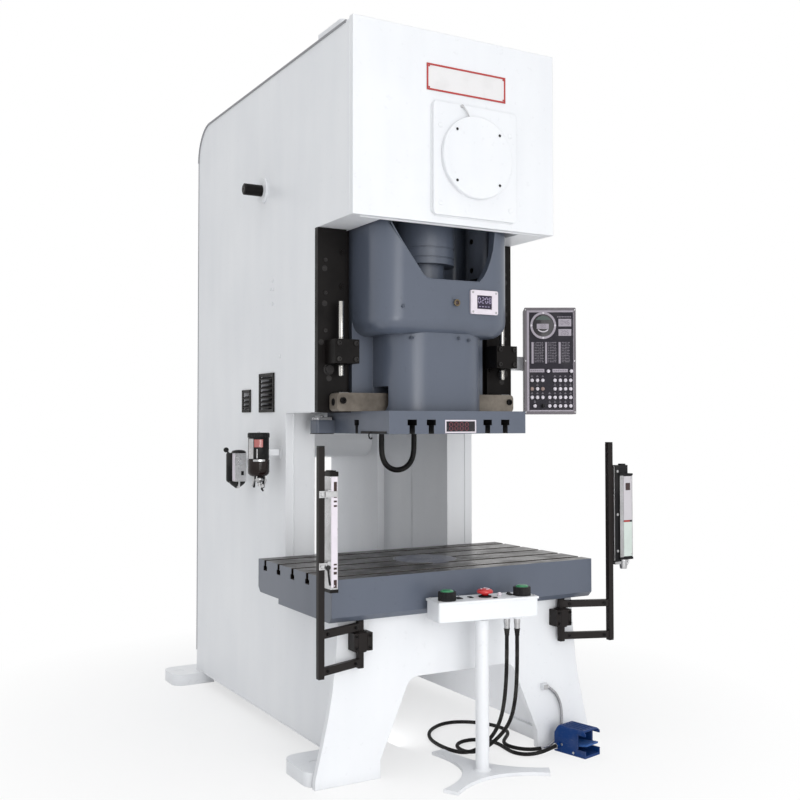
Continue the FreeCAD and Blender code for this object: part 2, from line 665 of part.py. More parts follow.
def crankshaft():
    """The crankshaft at top dead centre."""
    pin_z = CRANK_Z + THROW
    web_front = ROD_Y - ROD_EYE_WIDTH / 2.0 - 7.0 - WEB
    pin_length = ROD_EYE_WIDTH + 14.0
    rear_web = web_front + WEB + pin_length
    pieces = [round_bar(V(0, 12.0, CRANK_Z), Y, FRONT_JOURNAL_R, web_front - 12.0),
              round_bar(V(0, web_front, CRANK_Z), Y, WEB_R, WEB),
              round_bar(V(0, web_front + WEB, pin_z), Y, CRANK_PIN_R, pin_length),
              round_bar(V(0, rear_web, CRANK_Z), Y, WEB_R, WEB),
              round_bar(V(0, rear_web + WEB, CRANK_Z), Y, REAR_JOURNAL_R,
                        GEAR_FRONT + GEAR_WIDTH + 20.0 - rear_web - WEB)]
    return joined(pieces)


ROD_FOOT_Z = CRANK_Z - 493.0
ROD_FOOT_TOP = CRANK_Z - 433.0
ROD_BARREL_TOP = CRANK_Z - 230.0
ROD_RINGS = (CRANK_Z - 407.0, CRANK_Z - 364.0)
ROD_RING = (6.0, 3.0)


def con_rod():
    """The connecting rod: an eye on the crank pin above a barrel with two ring grooves."""
    pin_z = CRANK_Z + THROW
    front = ROD_Y - ROD_EYE_WIDTH / 2.0
    eye = round_bar(V(0, front, pin_z), Y, ROD_EYE_R, ROD_EYE_WIDTH)
    shank = block(-95.0, 95.0, front, front + ROD_EYE_WIDTH, ROD_BARREL_TOP, pin_z)
    barrel = round_bar(V(0, ROD_Y, ROD_FOOT_TOP), Z, ROD_BARREL_R, ROD_BARREL_TOP - ROD_FOOT_TOP)
    foot = round_bar(V(0, ROD_Y, ROD_FOOT_Z), Z, ROD_FOOT_R, ROD_FOOT_TOP - ROD_FOOT_Z)
    solid = joined([eye, shank, barrel, foot])
    for ring_z in ROD_RINGS:
        height, depth = ROD_RING
        solid = solid.cut(tube(V(0, ROD_Y, ring_z), Z, ROD_BARREL_R + 1.0, ROD_BARREL_R - depth, height))
    return solid.cut(round_bar(V(0, front, pin_z), Y, CRANK_PIN_R + FIT, ROD_EYE_WIDTH))


def main_gear():
    """The large gear on the crankshaft, with lightening holes in its web."""
    wheel = toothed_wheel(GEAR_TEETH, CRANK_Z, -90.0, GEAR_FRONT, GEAR_WIDTH)
    for i in range(6):
        angle = radians(60.0 * i + 30.0)
        spot = V(250.0 * cos(angle), GEAR_FRONT, CRANK_Z + 250.0 * sin(angle))
        wheel = wheel.cut(round_bar(spot, Y, 75.0, GEAR_WIDTH))
    return wheel.cut(round_bar(V(0, GEAR_FRONT, CRANK_Z), Y, REAR_JOURNAL_R + FIT, GEAR_WIDTH))


def pinion_shaft():
    teeth = toothed_wheel(PINION_TEETH, PINION_Z, 90.0 + 180.0 / PINION_TEETH, GEAR_FRONT - 5.0,
                          GEAR_WIDTH + 10.0)
    front = PINION_BOSS_FRONT[0] + 16.0
    rear = FLYWHEEL_FRONT + FLYWHEEL_WIDTH + 20.0
    return teeth.fuse(round_bar(V(0, front, PINION_Z), Y, PINION_SHAFT_R, rear - front))


def flywheel():
    """A heavy rim on a thin web, grooved by nothing: the belts run flat on it."""
    full = round_bar(V(0, FLYWHEEL_FRONT, PINION_Z), Y, FLYWHEEL_R, FLYWHEEL_WIDTH)
    recess = 35.0
    for start in (FLYWHEEL_FRONT, FLYWHEEL_FRONT + FLYWHEEL_WIDTH - recess):
        full = full.cut(tube(V(0, start, PINION_Z), Y, FLYWHEEL_R - 70.0, 100.0, recess))
    return full.cut(round_bar(V(0, FLYWHEEL_FRONT, PINION_Z), Y, PINION_SHAFT_R + FIT, FLYWHEEL_WIDTH))


def drive_motor():
    """A flange motor with its terminal box."""
    length = 315.0
    body = round_bar(V(0, REAR_CROSS_Y - length, MOTOR_Z), Y, MOTOR_R, length)
    flange = round_bar(V(0, REAR_CROSS_Y - 20.0, MOTOR_Z), Y, MOTOR_FLANGE_R, 20.0)
    register = round_bar(V(0, REAR_CROSS_Y, MOTOR_Z), Y, MOTOR_REGISTER_R, SHEET)
    box = block(-60.0, 60.0, REAR_CROSS_Y - 230.0, REAR_CROSS_Y - 100.0, MOTOR_Z, MOTOR_Z + MOTOR_R + 45.0)
    solid = joined([body, flange, register, box])
    return solid.cut(round_bar(V(0, REAR_CROSS_Y - 60.0, MOTOR_Z), Y, MOTOR_SHAFT_R + FIT, 60.0 + SHEET))


def motor_pulley():
    shaft = round_bar(V(0, REAR_CROSS_Y - 58.0, MOTOR_Z), Y, MOTOR_SHAFT_R,
                      FLYWHEEL_FRONT + FLYWHEEL_WIDTH - REAR_CROSS_Y + 58.0)
    wheel = round_bar(V(0, FLYWHEEL_FRONT + 5.0, MOTOR_Z), Y, PULLEY_R, FLYWHEEL_WIDTH - 10.0)
    return shaft.fuse(wheel)


def belt_loop(gap, front, width):
    """The space inside a belt that runs round the flywheel and the pulley."""
    big, small = FLYWHEEL_R + gap, PULLEY_R + gap
    lean = acos((big - small) / (MOTOR_Z - PINION_Z))
    edges = []
    corners = []
    for centre_z, r in ((PINION_Z, big), (MOTOR_Z, small)):
        corners.append([V(side * r * sin(lean), front, centre_z + r * cos(lean)) for side in (1, -1)])
    (low_right, low_left), (high_right, high_left) = corners
    edges.append(Part.makeLine(low_right, high_right))
    edges.append(Part.Arc(high_right, V(0, front, MOTOR_Z + small), high_left).toShape())
    edges.append(Part.makeLine(high_left, low_left))
    edges.append(Part.Arc(low_left, V(0, front, PINION_Z - big), low_right).toShape())
    return Part.Face(Part.Wire(edges)).extrude(V(0, width, 0))


def drive_belts():
    front = FLYWHEEL_FRONT + 10.0
    width = FLYWHEEL_WIDTH - 20.0
    return belt_loop(RUNNING_GAP + BELT, front, width).cut(belt_loop(RUNNING_GAP, front, width))


# --- Slide ---
POCKET_LEFT = [(-300.0, SLIDE_TOP + 15.0), (-288.0, SLIDE_TOP - 96.0), (-146.0, SLIDE_TOP - 288.0),
               (-125.0, SLIDE_TOP - 310.0), (-94.0, SLIDE_TOP - 318.0)]
POCKET_RIGHT = [(149.0, SLIDE_TOP - 316.0), (191.0, SLIDE_TOP - 259.0), (222.0, SLIDE_TOP - 169.0),
                (236.0, SLIDE_TOP + 15.0)]
DISPLAY = (SLIDE_HALF - 241.0, SLIDE_HALF - 100.0, SLIDE_TOP - 456.0, SLIDE_TOP - 352.0)
DISPLAY_SCREEN = (32.0, 22.0, 4.0)
DISPLAY_THICKNESS = 10.0
NIPPLES = [(-235.0, SLIDE_TOP - 441.0), (-167.0, SLIDE_TOP - 567.0), (61.0, SLIDE_TOP - 561.0),
           (112.0, SLIDE_TOP - 568.0)]
NIPPLE = (6.0, 14.0)
SIGHT_PLUG = (26.0, SLIDE_TOP - 413.0, 13.0, 9.0)
MANIFOLD = (-62.0, 158.0, 640.0, SLIDE_SEAT_Z + 6.0, SLIDE_SEAT_Z + 48.0)


def cornered_face(x, half, front, radius):
    """How far back the front face lies at x, where its vertical corners are rounded."""
    past = max(0.0, abs(x) - (half - radius))
    return front + radius - sqrt(radius ** 2 - past ** 2)


def slide_body():
    """The slide casting: guided wings at the rear, a bulge for the rod's well, a narrower neck."""
    wings = block(-SLIDE_HALF, SLIDE_HALF, SLIDE_WING_FRONT, SLIDE_WING_REAR, SLIDE_SEAT_Z, SLIDE_TOP)
    bulge = block(-SLIDE_HALF, SLIDE_HALF, BULGE_FRONT, SLIDE_WING_FRONT + 1.0, BULGE_BOTTOM, SLIDE_TOP)
    bulge = rounded(bulge, BULGE_CORNER_R, "z", [(s * SLIDE_HALF, BULGE_FRONT) for s in (-1, 1)])
    shoulder = []
    for edge in bulge.Edges:
        box = edge.BoundBox
        if box.ZMax < BULGE_BOTTOM + 0.5 and box.YMin < SLIDE_WING_FRONT:
            shoulder.append(edge)
    bulge = bulge.makeFillet(SHOULDER_R, shoulder)
    neck = block(-NECK_HALF, NECK_HALF, NECK_FRONT, SLIDE_WING_FRONT, SLIDE_SEAT_Z, BULGE_BOTTOM + SHOULDER_R)
    neck = rounded(neck, NECK_CORNER_R, "z", [(s * NECK_HALF, NECK_FRONT) for s in (-1, 1)])
    x0, x1, rear, z0, z1 = MANIFOLD
    manifold = block(x0, x1, SLIDE_WING_REAR, rear, z0, z1)
    solid = joined([wings, bulge, neck, manifold])
    well = block(-WELL_HALF, WELL_HALF, WELL_FRONT, WELL_REAR, WELL_FLOOR, SLIDE_TOP)
    solid = solid.cut(rounded(well, 40.0, "z", [(s * WELL_HALF, y) for s in (-1, 1)
                                                for y in (WELL_FRONT, WELL_REAR)]))
    solid = solid.cut(pocket())
    for side in (-1, 1):
        solid = solid.cut(block(side * SLIDE_HALF, side * (SLIDE_HALF - GUIDE_TONGUE - 1.0),
                                GUIDE_TONGUE_Y[0], GUIDE_TONGUE_Y[1], SLIDE_SEAT_Z, SLIDE_TOP))
    bar_way = block(-SLIDE_HALF, SLIDE_HALF, BAR_WAY_FRONT, BAR_FRONT + BAR_DEPTH + BAR_PLAY,
                    SLIDE_SEAT_Z, SLIDE_SEAT_Z + BAR_HEIGHT + BAR_LIFT + BAR_PLAY)
    solid = solid.cut(rounded(bar_way, BAR_WAY_CORNER_R, "x", [(BAR_WAY_FRONT, SLIDE_SEAT_Z)]))
    pieces = [solid]
    for x, z in NIPPLES:
        if z > BULGE_BOTTOM + SHOULDER_R:
            face = cornered_face(x, SLIDE_HALF, BULGE_FRONT, BULGE_CORNER_R)
        else:
            face = cornered_face(x, NECK_HALF, NECK_FRONT, NECK_CORNER_R)
        pieces.append(round_bar(V(x, face + 10.0, z), V(0, -1, 0), NIPPLE[0], NIPPLE[1] + 10.0))
    x, z, r, out = SIGHT_PLUG
    pieces.append(round_bar(V(x, BULGE_FRONT + 5.0, z), V(0, -1, 0), r, out + 5.0))
    return joined(pieces)


def pocket():
    """The opening in the slide's front wall through which the rod shows."""
    y = BULGE_FRONT - 10.0
    left = [V(x, y, z) for x, z in POCKET_LEFT]
    right = [V(x, y, z) for x, z in POCKET_RIGHT]
    edges = [Part.makeLine(left[0], left[1]),
             Part.makeLine(left[1], left[2]),
             Part.Arc(left[2], left[3], left[4]).toShape(),
             Part.makeLine(left[4], right[0]),
             Part.Arc(right[0], right[1], right[2]).toShape(),
             Part.makeLine(right[2], right[3]),
             Part.makeLine(right[3], left[0])]
    return Part.Face(Part.Wire(edges)).extrude(V(0, WELL_FRONT - y + 5.0, 0))


def tee_slot_y(x, y0, y1, face, up, neck, head):
    """Cutter for a T-slot along Y; up is +1 when the slot opens downwards."""
    a = block(x - neck[0] / 2, x + neck[0] / 2, y0, y1, face, face + up * neck[1])
    b = block(x - head[0] / 2, x + head[0] / 2, y0, y1, face + up * neck[1],
              face + up * (neck[1] + head[1]))
    return a.fuse(b)


def tee_slot_x(y, x0, x1, face, up, neck, head):
    """Cutter for a T-slot along X."""
    a = block(x0, x1, y - neck[0] / 2, y + neck[0] / 2, face, face + up * neck[1])
    b = block(x0, x1, y - head[0] / 2, y + head[0] / 2, face + up * neck[1],
              face + up * (neck[1] + head[1]))
    return a.fuse(b)


SLIDE_LUG = (SLIDE_HALF + 87.0, 500.0, 574.0, SLIDE_FACE_Z + 1.0, SLIDE_FACE_Z + 58.0)


def slide_plate():
    """The die plate under the slide, with T-slots both ways and the shank hole."""
    rear = SLIDE_PLATE_FRONT + SLIDE_PLATE_DEPTH
    plate = block(-SLIDE_HALF, SLIDE_HALF, SLIDE_PLATE_FRONT, rear, SLIDE_FACE_Z, SLIDE_SEAT_Z)
    x1, y0, y1, z0, z1 = SLIDE_LUG
    lug = rounded(block(-x1, -SLIDE_HALF, y0, y1, z0, z1), 10.0, "z", [(-x1, y0), (-x1, y1)])
    solid = joined([plate, lug])
    for slot_x in SLIDE_SLOT_X:
        for side in (-1, 1):
            solid = solid.cut(tee_slot_y(side * slot_x, SLIDE_PLATE_FRONT, rear, SLIDE_FACE_Z, 1,
                                         SLIDE_SLOT_NECK, SLIDE_SLOT_HEAD))
    middle_y = SLIDE_PLATE_FRONT + SLIDE_PLATE_DEPTH / 2.0
    for side in (-1, 1):
        ends = sorted((side * SLIDE_CROSS_END, side * SLIDE_HALF))
        solid = solid.cut(tee_slot_x(middle_y, ends[0], ends[1], SLIDE_FACE_Z, 1,
                                     SLIDE_SLOT_NECK, SLIDE_SLOT_HEAD))
    return solid.cut(round_bar(V(0, middle_y, SLIDE_FACE_Z), Z, SHANK_HOLE_R, SLIDE_PLATE))


def slide_display():
    """The counter's bezel with its sunken screen."""
    x0, x1, z0, z1 = DISPLAY
    bezel = block(x0, x1, BULGE_FRONT - DISPLAY_THICKNESS, BULGE_FRONT, z0, z1)
    bezel = rounded(bezel, 8.0, "y", [(x, z) for x in (x0, x1) for z in (z0, z1)])
    side, end, sunk = DISPLAY_SCREEN
    return bezel.cut(block(x0 + side, x1 - side, BULGE_FRONT - DISPLAY_THICKNESS,
                           BULGE_FRONT - DISPLAY_THICKNESS + sunk, z0 + end, z1 - end))


HOSE_TOP = MANIFOLD[3] - 0.4
HOSE_BEND_Z = MANIFOLD[3] - 226.0
HOSE_LOW = MANIFOLD[3] - 277.0
HOSE_ROUTE = [(-39.0, 610.0, HOSE_TOP), (-40.0, 612.0, HOSE_TOP - 108.0), (-39.0, 614.0, HOSE_BEND_Z),
              (12.0, 616.0, HOSE_LOW), (84.0, 616.0, HOSE_LOW), (135.0, 614.0, HOSE_BEND_Z),
              (136.0, 612.0, HOSE_TOP - 108.0), (135.0, 610.0, HOSE_TOP)]


# --- Table ---
def bolster():
    """The bolster plate: five T-slots along X and a seat for the centre disc."""
    rear = BOLSTER_FRONT + BOLSTER_DEPTH
    edge = BOLSTER_EDGE
    profile = [(BOLSTER_FRONT, BOLSTER_TOP), (BOLSTER_FRONT, BED_TOP + edge),
               (BOLSTER_FRONT + edge, BED_TOP), (BOLSTER_PAD_REAR, BED_TOP),
               (BOLSTER_PAD_REAR, BED_TOP + edge), (rear - edge, BED_TOP + edge),
               (rear, BED_TOP + 2.0 * edge), (rear, BOLSTER_TOP)]
    solid = outline_yz(profile, -BOLSTER_HALF, BOLSTER_HALF)
    for i in range(BOLSTER_SLOTS):
        y = BOLSTER_CENTRE_Y + (i - (BOLSTER_SLOTS - 1) / 2.0) * BOLSTER_SLOT_PITCH
        solid = solid.cut(tee_slot_x(y, -BOLSTER_HALF, BOLSTER_HALF, BOLSTER_TOP, -1,
                                     BOLSTER_SLOT_NECK, BOLSTER_SLOT_HEAD))
    return solid.cut(round_bar(V(0, BOLSTER_CENTRE_Y, BOLSTER_TOP - DISC_THICKNESS), Z, DISC_R + FIT,
                               DISC_THICKNESS))


def bolster_disc():
    return round_bar(V(0, BOLSTER_CENTRE_Y, BOLSTER_TOP - DISC_THICKNESS), Z, DISC_R, DISC_THICKNESS)


# --- Left side fittings ---
FILTER_Y = (985.0, 1110.0)
LUBRICATOR_Y = (655.0, 840.0)
UNIT_X = -HALF - 100.0
UNIT_STANDOFF = 12.0
UNIT_RIM = 10.0
DRAIN = (9.0, 25.0)
FILTER_DROP = (171.0, 245.0, 330.0)
FILTER_BOWL_R = 36.0
KNOB_DROP = 208.0
KNOB_NECK = (14.0, 32.0)
KNOB_R = 24.0
KNOB_OUT = 42.0
LUBRICATOR_DROP = (120.0, 200.0, 288.0)
LUBRICATOR_BOWL_R = 42.0
DOME = (30.0, 27.0)


def service_unit(y0, y1, drops, bowl_r):
    """A head block on a wall plate, with a hanging bowl; drops are measured from the side plate's nose."""
    z_top, z_body, z_bowl = [NOSE_BOTTOM - drop for drop in drops]
    middle = (y0 + y1) / 2.0
    plate = block(-HALF, -HALF - UNIT_STANDOFF, y0 - UNIT_RIM, y1 + UNIT_RIM, z_body, z_top - UNIT_RIM)
    head = block(-HALF - UNIT_STANDOFF, UNIT_X - 45.0, y0, y1, z_body, z_top)
    head = rounded(head, 14.0, "z", [(UNIT_X - 45.0, y0), (UNIT_X - 45.0, y1)])
    bowl = round_bar(V(UNIT_X, middle, z_bowl), Z, bowl_r, z_body - z_bowl)
    drain = round_bar(V(UNIT_X, middle, z_bowl - DRAIN[1]), Z, DRAIN[0], DRAIN[1])
    return joined([plate, head, bowl, drain])


def filter_unit():
    """The air filter and regulator, with its setting knob at the rear."""
    unit = service_unit(FILTER_Y[0], FILTER_Y[1], FILTER_DROP, FILTER_BOWL_R)
    knob_z = NOSE_BOTTOM - KNOB_DROP
    neck = round_bar(V(UNIT_X, FILTER_Y[1], knob_z), Y, KNOB_NECK[0], KNOB_NECK[1])
    knob = Part.makeSphere(KNOB_R, V(UNIT_X, FILTER_Y[1] + KNOB_OUT, knob_z))
    return joined([unit, neck, knob])


def lubricator_unit():
    """The lubricator with a dome on top."""
    unit = service_unit(LUBRICATOR_Y[0], LUBRICATOR_Y[1], LUBRICATOR_DROP, LUBRICATOR_BOWL_R)
    middle = (LUBRICATOR_Y[0] + LUBRICATOR_Y[1]) / 2.0
    return joined([unit, round_bar(V(UNIT_X, middle, NOSE_BOTTOM - LUBRICATOR_DROP[0]), Z, DOME[0], DOME[1])])


# --- Guards ---
GUARD_BLOCK = (HALF - 58.0, HALF + 42.0, -80.0, 518.0, 597.5)
GUARD_ARM_Z = (459.0, 598.0)
GUARD_POST_Z = (455.0, 1315.0)
PIVOT_Z = (452.0, 635.0)
PIVOT_BORE_R = 23.0


def guard_block():
    x0, x1, front, z0, z1 = GUARD_BLOCK
    solid = block(x0, x1, front, BED_FRONT - BED_FRONT_PLATE, z0, z1)
    return solid.cut(round_bar(V(GATE_PIVOT[0], GATE_PIVOT[1], z0), Z, PIVOT_BORE_R, z1 - z0))


def square_post(x, y, size, z0, z1):
    return block(x - size / 2, x + size / 2, y - size / 2, y + size / 2, z0, z1)


def guard_gate():
    """The right gate: a pivot tube, two arms and a tall post."""
    px, py = GATE_PIVOT
    qx, qy = GATE_POST
    reach = sqrt((qx - px) ** 2 + (qy - py) ** 2)
    angle = degrees(atan2(qy - py, qx - px))
    pieces = [square_post(px, py, PIVOT_SIZE, PIVOT_Z[0], PIVOT_Z[1]),
              square_post(qx, qy, POST_SIZE, GUARD_POST_Z[0], GUARD_POST_Z[1])]
    for low in GUARD_ARM_Z:
        arm = block(px, px + reach, py - ARM_SIZE / 2, py + ARM_SIZE / 2, low, low + ARM_SIZE)
        pieces.append(turned(arm, angle, V(px, py, 0)))
    return joined(pieces)


CURTAIN_LEFT = (31.0 - GATE_POST[0], 61.0 - GATE_POST[0], -150.0, -90.0, 771.0, 1220.0)
CURTAIN_CLAMPS = ((853.0, 887.0), (1122.0, 1154.0))
CURTAIN_RIGHT = (GATE_POST[0] + 37.0, GATE_POST[0] + 108.0, -162.0, -120.0, 803.0, 1175.0)


def curtain_unit_left():
    """The left light curtain on two clamps."""
    x0, x1, y0, y1, z0, z1 = CURTAIN_LEFT
    body = block(x0, x1, y0, y1, z0, z1)
    body = body.cut(block(x1 - 6.0, x1, y0 + 12.0, y1 - 12.0, z0 + 40.0, z1 - 40.0))
    post_face = -GATE_POST[0] + POST_SIZE / 2.0
    clamps = [block(post_face, x0, y0, y0 + 50.0, low, high) for low, high in CURTAIN_CLAMPS]
    return joined([body] + clamps)


def curtain_unit_right():
    """The right light curtain in its channel."""
    x0, x1, y0, y1, z0, z1 = CURTAIN_RIGHT
    post_face = GATE_POST[0] + POST_SIZE / 2.0
    body = block(x0, x1, y0, y1, z0, z1)
    channel = block(post_face, x0, y0 + 6.0, y1 - 4.0, z0 - 10.0, z1 + 42.0)
    ledge = block(x0, x1 - 20.0, y0 + 6.0, y1 - 4.0, z1, z1 + 42.0)
    connector = round_bar(V((x0 + x1) / 2.0, (y0 + y1) / 2.0, z0 - 42.0), Z, 14.0, 42.0)
    return joined([body, channel, ledge, connector])


# --- Panel and console ---
def panel_pivot():
    back = radians(90.0 + PANEL_TURN)
    reach = PANEL_YOKE + PANEL_DEPTH
    return V(PANEL_FRONT.x + reach * cos(back), PANEL_FRONT.y + reach * sin(back), PANEL_FRONT.z)


ARM_Z = (PANEL_FRONT.z - 35.0, PANEL_FRONT.z + 30.0)
ARM_DEPTH = 40.0
PANEL_PIN_R = 14.0
YOKE_PLATE = 12.0


def panel_arm():
    """The arm on the right side plate, with the pin that the panel turns on."""
    pivot = panel_pivot()
    y0 = pivot.y - ARM_DEPTH / 2.0
    beam = block(HALF, pivot.x + 28.0, y0, y0 + ARM_DEPTH, ARM_Z[0], ARM_Z[1])
    root = block(HALF, HALF + 16.0, y0 - 2.0, y0 + ARM_DEPTH + 60.0, ARM_Z[0] - 25.0, ARM_Z[1] + 25.0)
    pin = round_bar(V(pivot.x, pivot.y, ARM_Z[0] - 30.0), Z, PANEL_PIN_R, ARM_Z[1] - ARM_Z[0] + 60.0)
    return joined([beam, root, pin])


def on_panel(shape):
    """Place what is drawn with the panel's front centre at the origin, facing -Y."""
    placed = turned(shape, PANEL_TURN, V(0, 0, 0))
    placed.translate(PANEL_FRONT)
    return placed


PANEL_BEZEL = 5.0
PANEL_RIM = 12.0
PANEL_CORNER_R = 12.0
RING_DISPLAY = (-32.0, 158.0, 60.0, 9.0)
BUTTON_R = 8.0
BUTTON_OUT = 7.0
PANEL_BUTTONS = [(x, z) for x in (-85.0, -60.0, -35.0) for z in (-87.0, -125.0, -163.0)]
PANEL_BUTTONS += [(x, z) for x in (22.0, 47.0, 71.0, 95.0) for z in (-87.0, -125.0, -163.0, -201.0)]
PANEL_BUTTONS += [(-3.0, -163.0), (-3.0, -201.0), (-72.0, -201.0), (-9.0, -46.0), (99.0, -46.0)]


def control_panel():
    """The operating panel: a flat housing, raised bezel, displays, keys and a yoke behind."""
    half = PANEL_WIDTH / 2.0
    tall = PANEL_HEIGHT / 2.0
    case = block(-half, half, -PANEL_BEZEL, PANEL_DEPTH, -tall, tall)
    case = rounded(case, PANEL_CORNER_R, "y", [(x, z) for x in (-half, half) for z in (-tall, tall)])
    case = case.cut(block(PANEL_RIM - half, half - PANEL_RIM, -PANEL_BEZEL, 0, PANEL_RIM - tall,
                          tall - PANEL_RIM))
    x, z, r, thick = RING_DISPLAY
    pieces = [case, tube(V(x, 0, z), V(0, -1, 0), r, r - thick, PANEL_BEZEL)]
    for x, z in PANEL_BUTTONS:
        pieces.append(round_bar(V(x, 0, z), V(0, -1, 0), BUTTON_R, BUTTON_OUT))
    gap = ARM_Z[1] - ARM_Z[0] + 2 * RUNNING_GAP
    middle = (ARM_Z[0] + ARM_Z[1]) / 2.0 - PANEL_FRONT.z
    reach = PANEL_DEPTH + PANEL_YOKE
    for low in (middle - gap / 2.0 - YOKE_PLATE, middle + gap / 2.0):
        leaf = block(-26.0, 26.0, PANEL_DEPTH, reach, low, low + YOKE_PLATE)
        leaf = leaf.fuse(round_bar(V(0, reach, low), Z, 26.0, YOKE_PLATE))
        pieces.append(leaf.cut(round_bar(V(0, reach, low), Z, PANEL_PIN_R + FIT, YOKE_PLATE)))
    return on_panel(joined(pieces))


def on_console(shape):
    """Place what is drawn about the console's centre, with its length along X."""
    placed = turned(shape, CONSOLE_TURN, V(0, 0, 0))
    placed.translate(CONSOLE)
    return placed


RING_HEIGHT = 26.0
PALM_RING_R = 42.0
PALM_STEM_R = 16.0
GLAND_R = 12.0
GLAND_LENGTH = 50.0
GLANDS = ((104.0, 8.0), (142.0, -8.0))


def console_box():
    """The two-hand box: a chamfered case with a guard ring round each palm button and two glands."""
    half = CONSOLE_LENGTH / 2.0
    deep = CONSOLE_DEPTH / 2.0
    low, top = CONSOLE_Z
    case = block(-half, half, -deep, deep, low, top)
    case = rounded(case, 10.0, "z", [(x, y) for x in (-half, half) for y in (-deep, deep)])
    pieces = [case]
    for side in (-1, 1):
        x = side * PALM_OFFSET
        pieces.append(tube(V(x, 0, top), Z, PALM_RING_R, PALM_R + 2.0, RING_HEIGHT))
    pieces.append(round_bar(V(0, 0, top), Z, STOP_R + 4.0, 8.0))
    for x, y in GLANDS:
        pieces.append(round_bar(V(x, y, low - GLAND_LENGTH), Z, GLAND_R, GLAND_LENGTH))
        pieces.append(hexagon(V(x, y, low - 14.0), Z, 30.0, 14.0))
    solid = joined(pieces)
    for x in (-PALM_OFFSET, 0.0, PALM_OFFSET):
        solid = solid.cut(round_bar(V(x, 0, top - 30.0), Z, PALM_STEM_R + RUNNING_GAP, 40.0))
    return on_console(solid)


def mushroom(x, r, height):
    """A push button: a domed head on a stem, shown released."""
    top = CONSOLE_Z[1]
    seat = top + 8.0 + PALM_TRAVEL + RUNNING_GAP
    head = round_bar(V(x, 0, seat), Z, r, height)
    head = head.makeFillet(height * 0.45, [e for e in head.Edges if e.BoundBox.ZMin > seat + height - 0.1])
    stem = round_bar(V(x, 0, top - 20.0), Z, PALM_STEM_R, seat + 1.0 - top + 20.0)
    return on_console(head.fuse(stem))


STAND_FOOT = V(-2.0, -170.0, 0.0)
STAND_ARMS = [(-240.0, -310.0), (226.0, -313.0), (-30.0, 128.0)]
STAND_ARM_WIDTH = 64.0
STAND_BASE = 14.0
STAND_WAIST = 82.0


def console_stand():
    """A round column on a three-armed base with hollow sides."""
    tips = []
    for x, y in sorted(STAND_ARMS, key=lambda p: atan2(p[1] - STAND_FOOT.y, p[0] - STAND_FOOT.x)):
        way = V(x, y, 0) - V(STAND_FOOT.x, STAND_FOOT.y, 0)
        way.normalize()
        across = V(-way.y, way.x, 0) * (STAND_ARM_WIDTH / 2.0)
        tips.append((V(x, y, 0) - across, V(x, y, 0) + across))
    edges = []
    for i, (first, last) in enumerate(tips):
        following = tips[(i + 1) % len(tips)][0]
        middle = (last + following) * 0.5 - STAND_FOOT
        middle.normalize()
        edges.append(Part.makeLine(first, last))
        edges.append(Part.Arc(last, STAND_FOOT + middle * STAND_WAIST, following).toShape())
    base = Part.Face(Part.Wire(edges)).extrude(V(0, 0, STAND_BASE))
    hub = Part.makeCone(70.0, CONSOLE_COLUMN_R, 30.0, STAND_FOOT + V(0, 0, STAND_BASE), Z)
    column_bar = round_bar(STAND_FOOT, Z, CONSOLE_COLUMN_R, CONSOLE_Z[0])
    return joined([base, hub, column_bar])


# --- Pedal ---
PEDAL = V(492.0, -156.0, 0.0)
PEDAL_TURN = 103.0
PEDAL_LENGTH = 165.0
PEDAL_WIDTH = 100.0
PEDAL_HEIGHT = 112.0
PEDAL_SHELL = 5.0
PEDAL_FLOOR = 10.0
PEDAL_NOTCH = (40.0, 30.0, 92.0)
PEDAL_GLAND = (60.0, 28.0, 20.0)
TREADLE_PIN = (42.0, 34.0)
TREADLE_PIN_R = 5.0
TREADLE_WIDTH = 80.0
TREADLE_RISE = 14.0
TREADLE = 8.0


def on_pedal(shape):
    """Place what is drawn about the pedal's centre with its mouth towards -X."""
    placed = turned(shape, PEDAL_TURN, V(0, 0, 0))
    placed.translate(PEDAL)
    return placed


def pedal_housing():
    """A hooded foot guard: closed heel end, cut-back side walls, a base that runs under the mouth."""
    half = PEDAL_LENGTH / 2.0
    wide = PEDAL_WIDTH / 2.0
    side = [(-half, 0), (half, 0), (half, PEDAL_HEIGHT - 32.0), (half - 22.0, PEDAL_HEIGHT),
            (-half + 14.0, PEDAL_HEIGHT), (-half, PEDAL_HEIGHT - 10.0)]
    inner = [(-half, PEDAL_FLOOR), (half - 24.0, PEDAL_FLOOR), (half - 24.0, 60.0),
             (half - 46.0, PEDAL_HEIGHT - PEDAL_SHELL), (-half, PEDAL_HEIGHT - PEDAL_SHELL)]
    shell = rounded(outline_xz(side, -wide, wide), 8.0, "x", [(s * wide, PEDAL_HEIGHT) for s in (-1, 1)])
    shell = shell.cut(outline_xz(inner, -wide + PEDAL_SHELL, wide - PEDAL_SHELL))
    reach, low, high = PEDAL_NOTCH
    shell = shell.cut(block(-half, -half + reach, -wide, wide, low, high))
    gland_x, gland_z, gland = PEDAL_GLAND
    shell = shell.fuse(round_bar(V(gland_x, wide - PEDAL_SHELL, gland_z), Y, 12.0, gland + PEDAL_SHELL))
    x, z = TREADLE_PIN
    shell = shell.cut(round_bar(V(x, -wide, z), Y, TREADLE_PIN_R + FIT, PEDAL_WIDTH))
    return on_pedal(shell)


def pedal_treadle():
    """The treadle on its cross pin, sloping up to the toe end."""
    x, z = TREADLE_PIN
    toe = -PEDAL_LENGTH / 2.0 + 2.0
    rise = z + TREADLE_RISE
    plate = outline_xz([(x + 8.0, z - 8.0), (x + 8.0, z + 8.0), (toe, rise + TREADLE), (toe, rise),
                        (x - 8.0, z - 8.0)], -TREADLE_WIDTH / 2.0, TREADLE_WIDTH / 2.0)
    pin = round_bar(V(x, -PEDAL_WIDTH / 2.0, z), Y, TREADLE_PIN_R, PEDAL_WIDTH)
    return on_pedal(plate.fuse(pin))


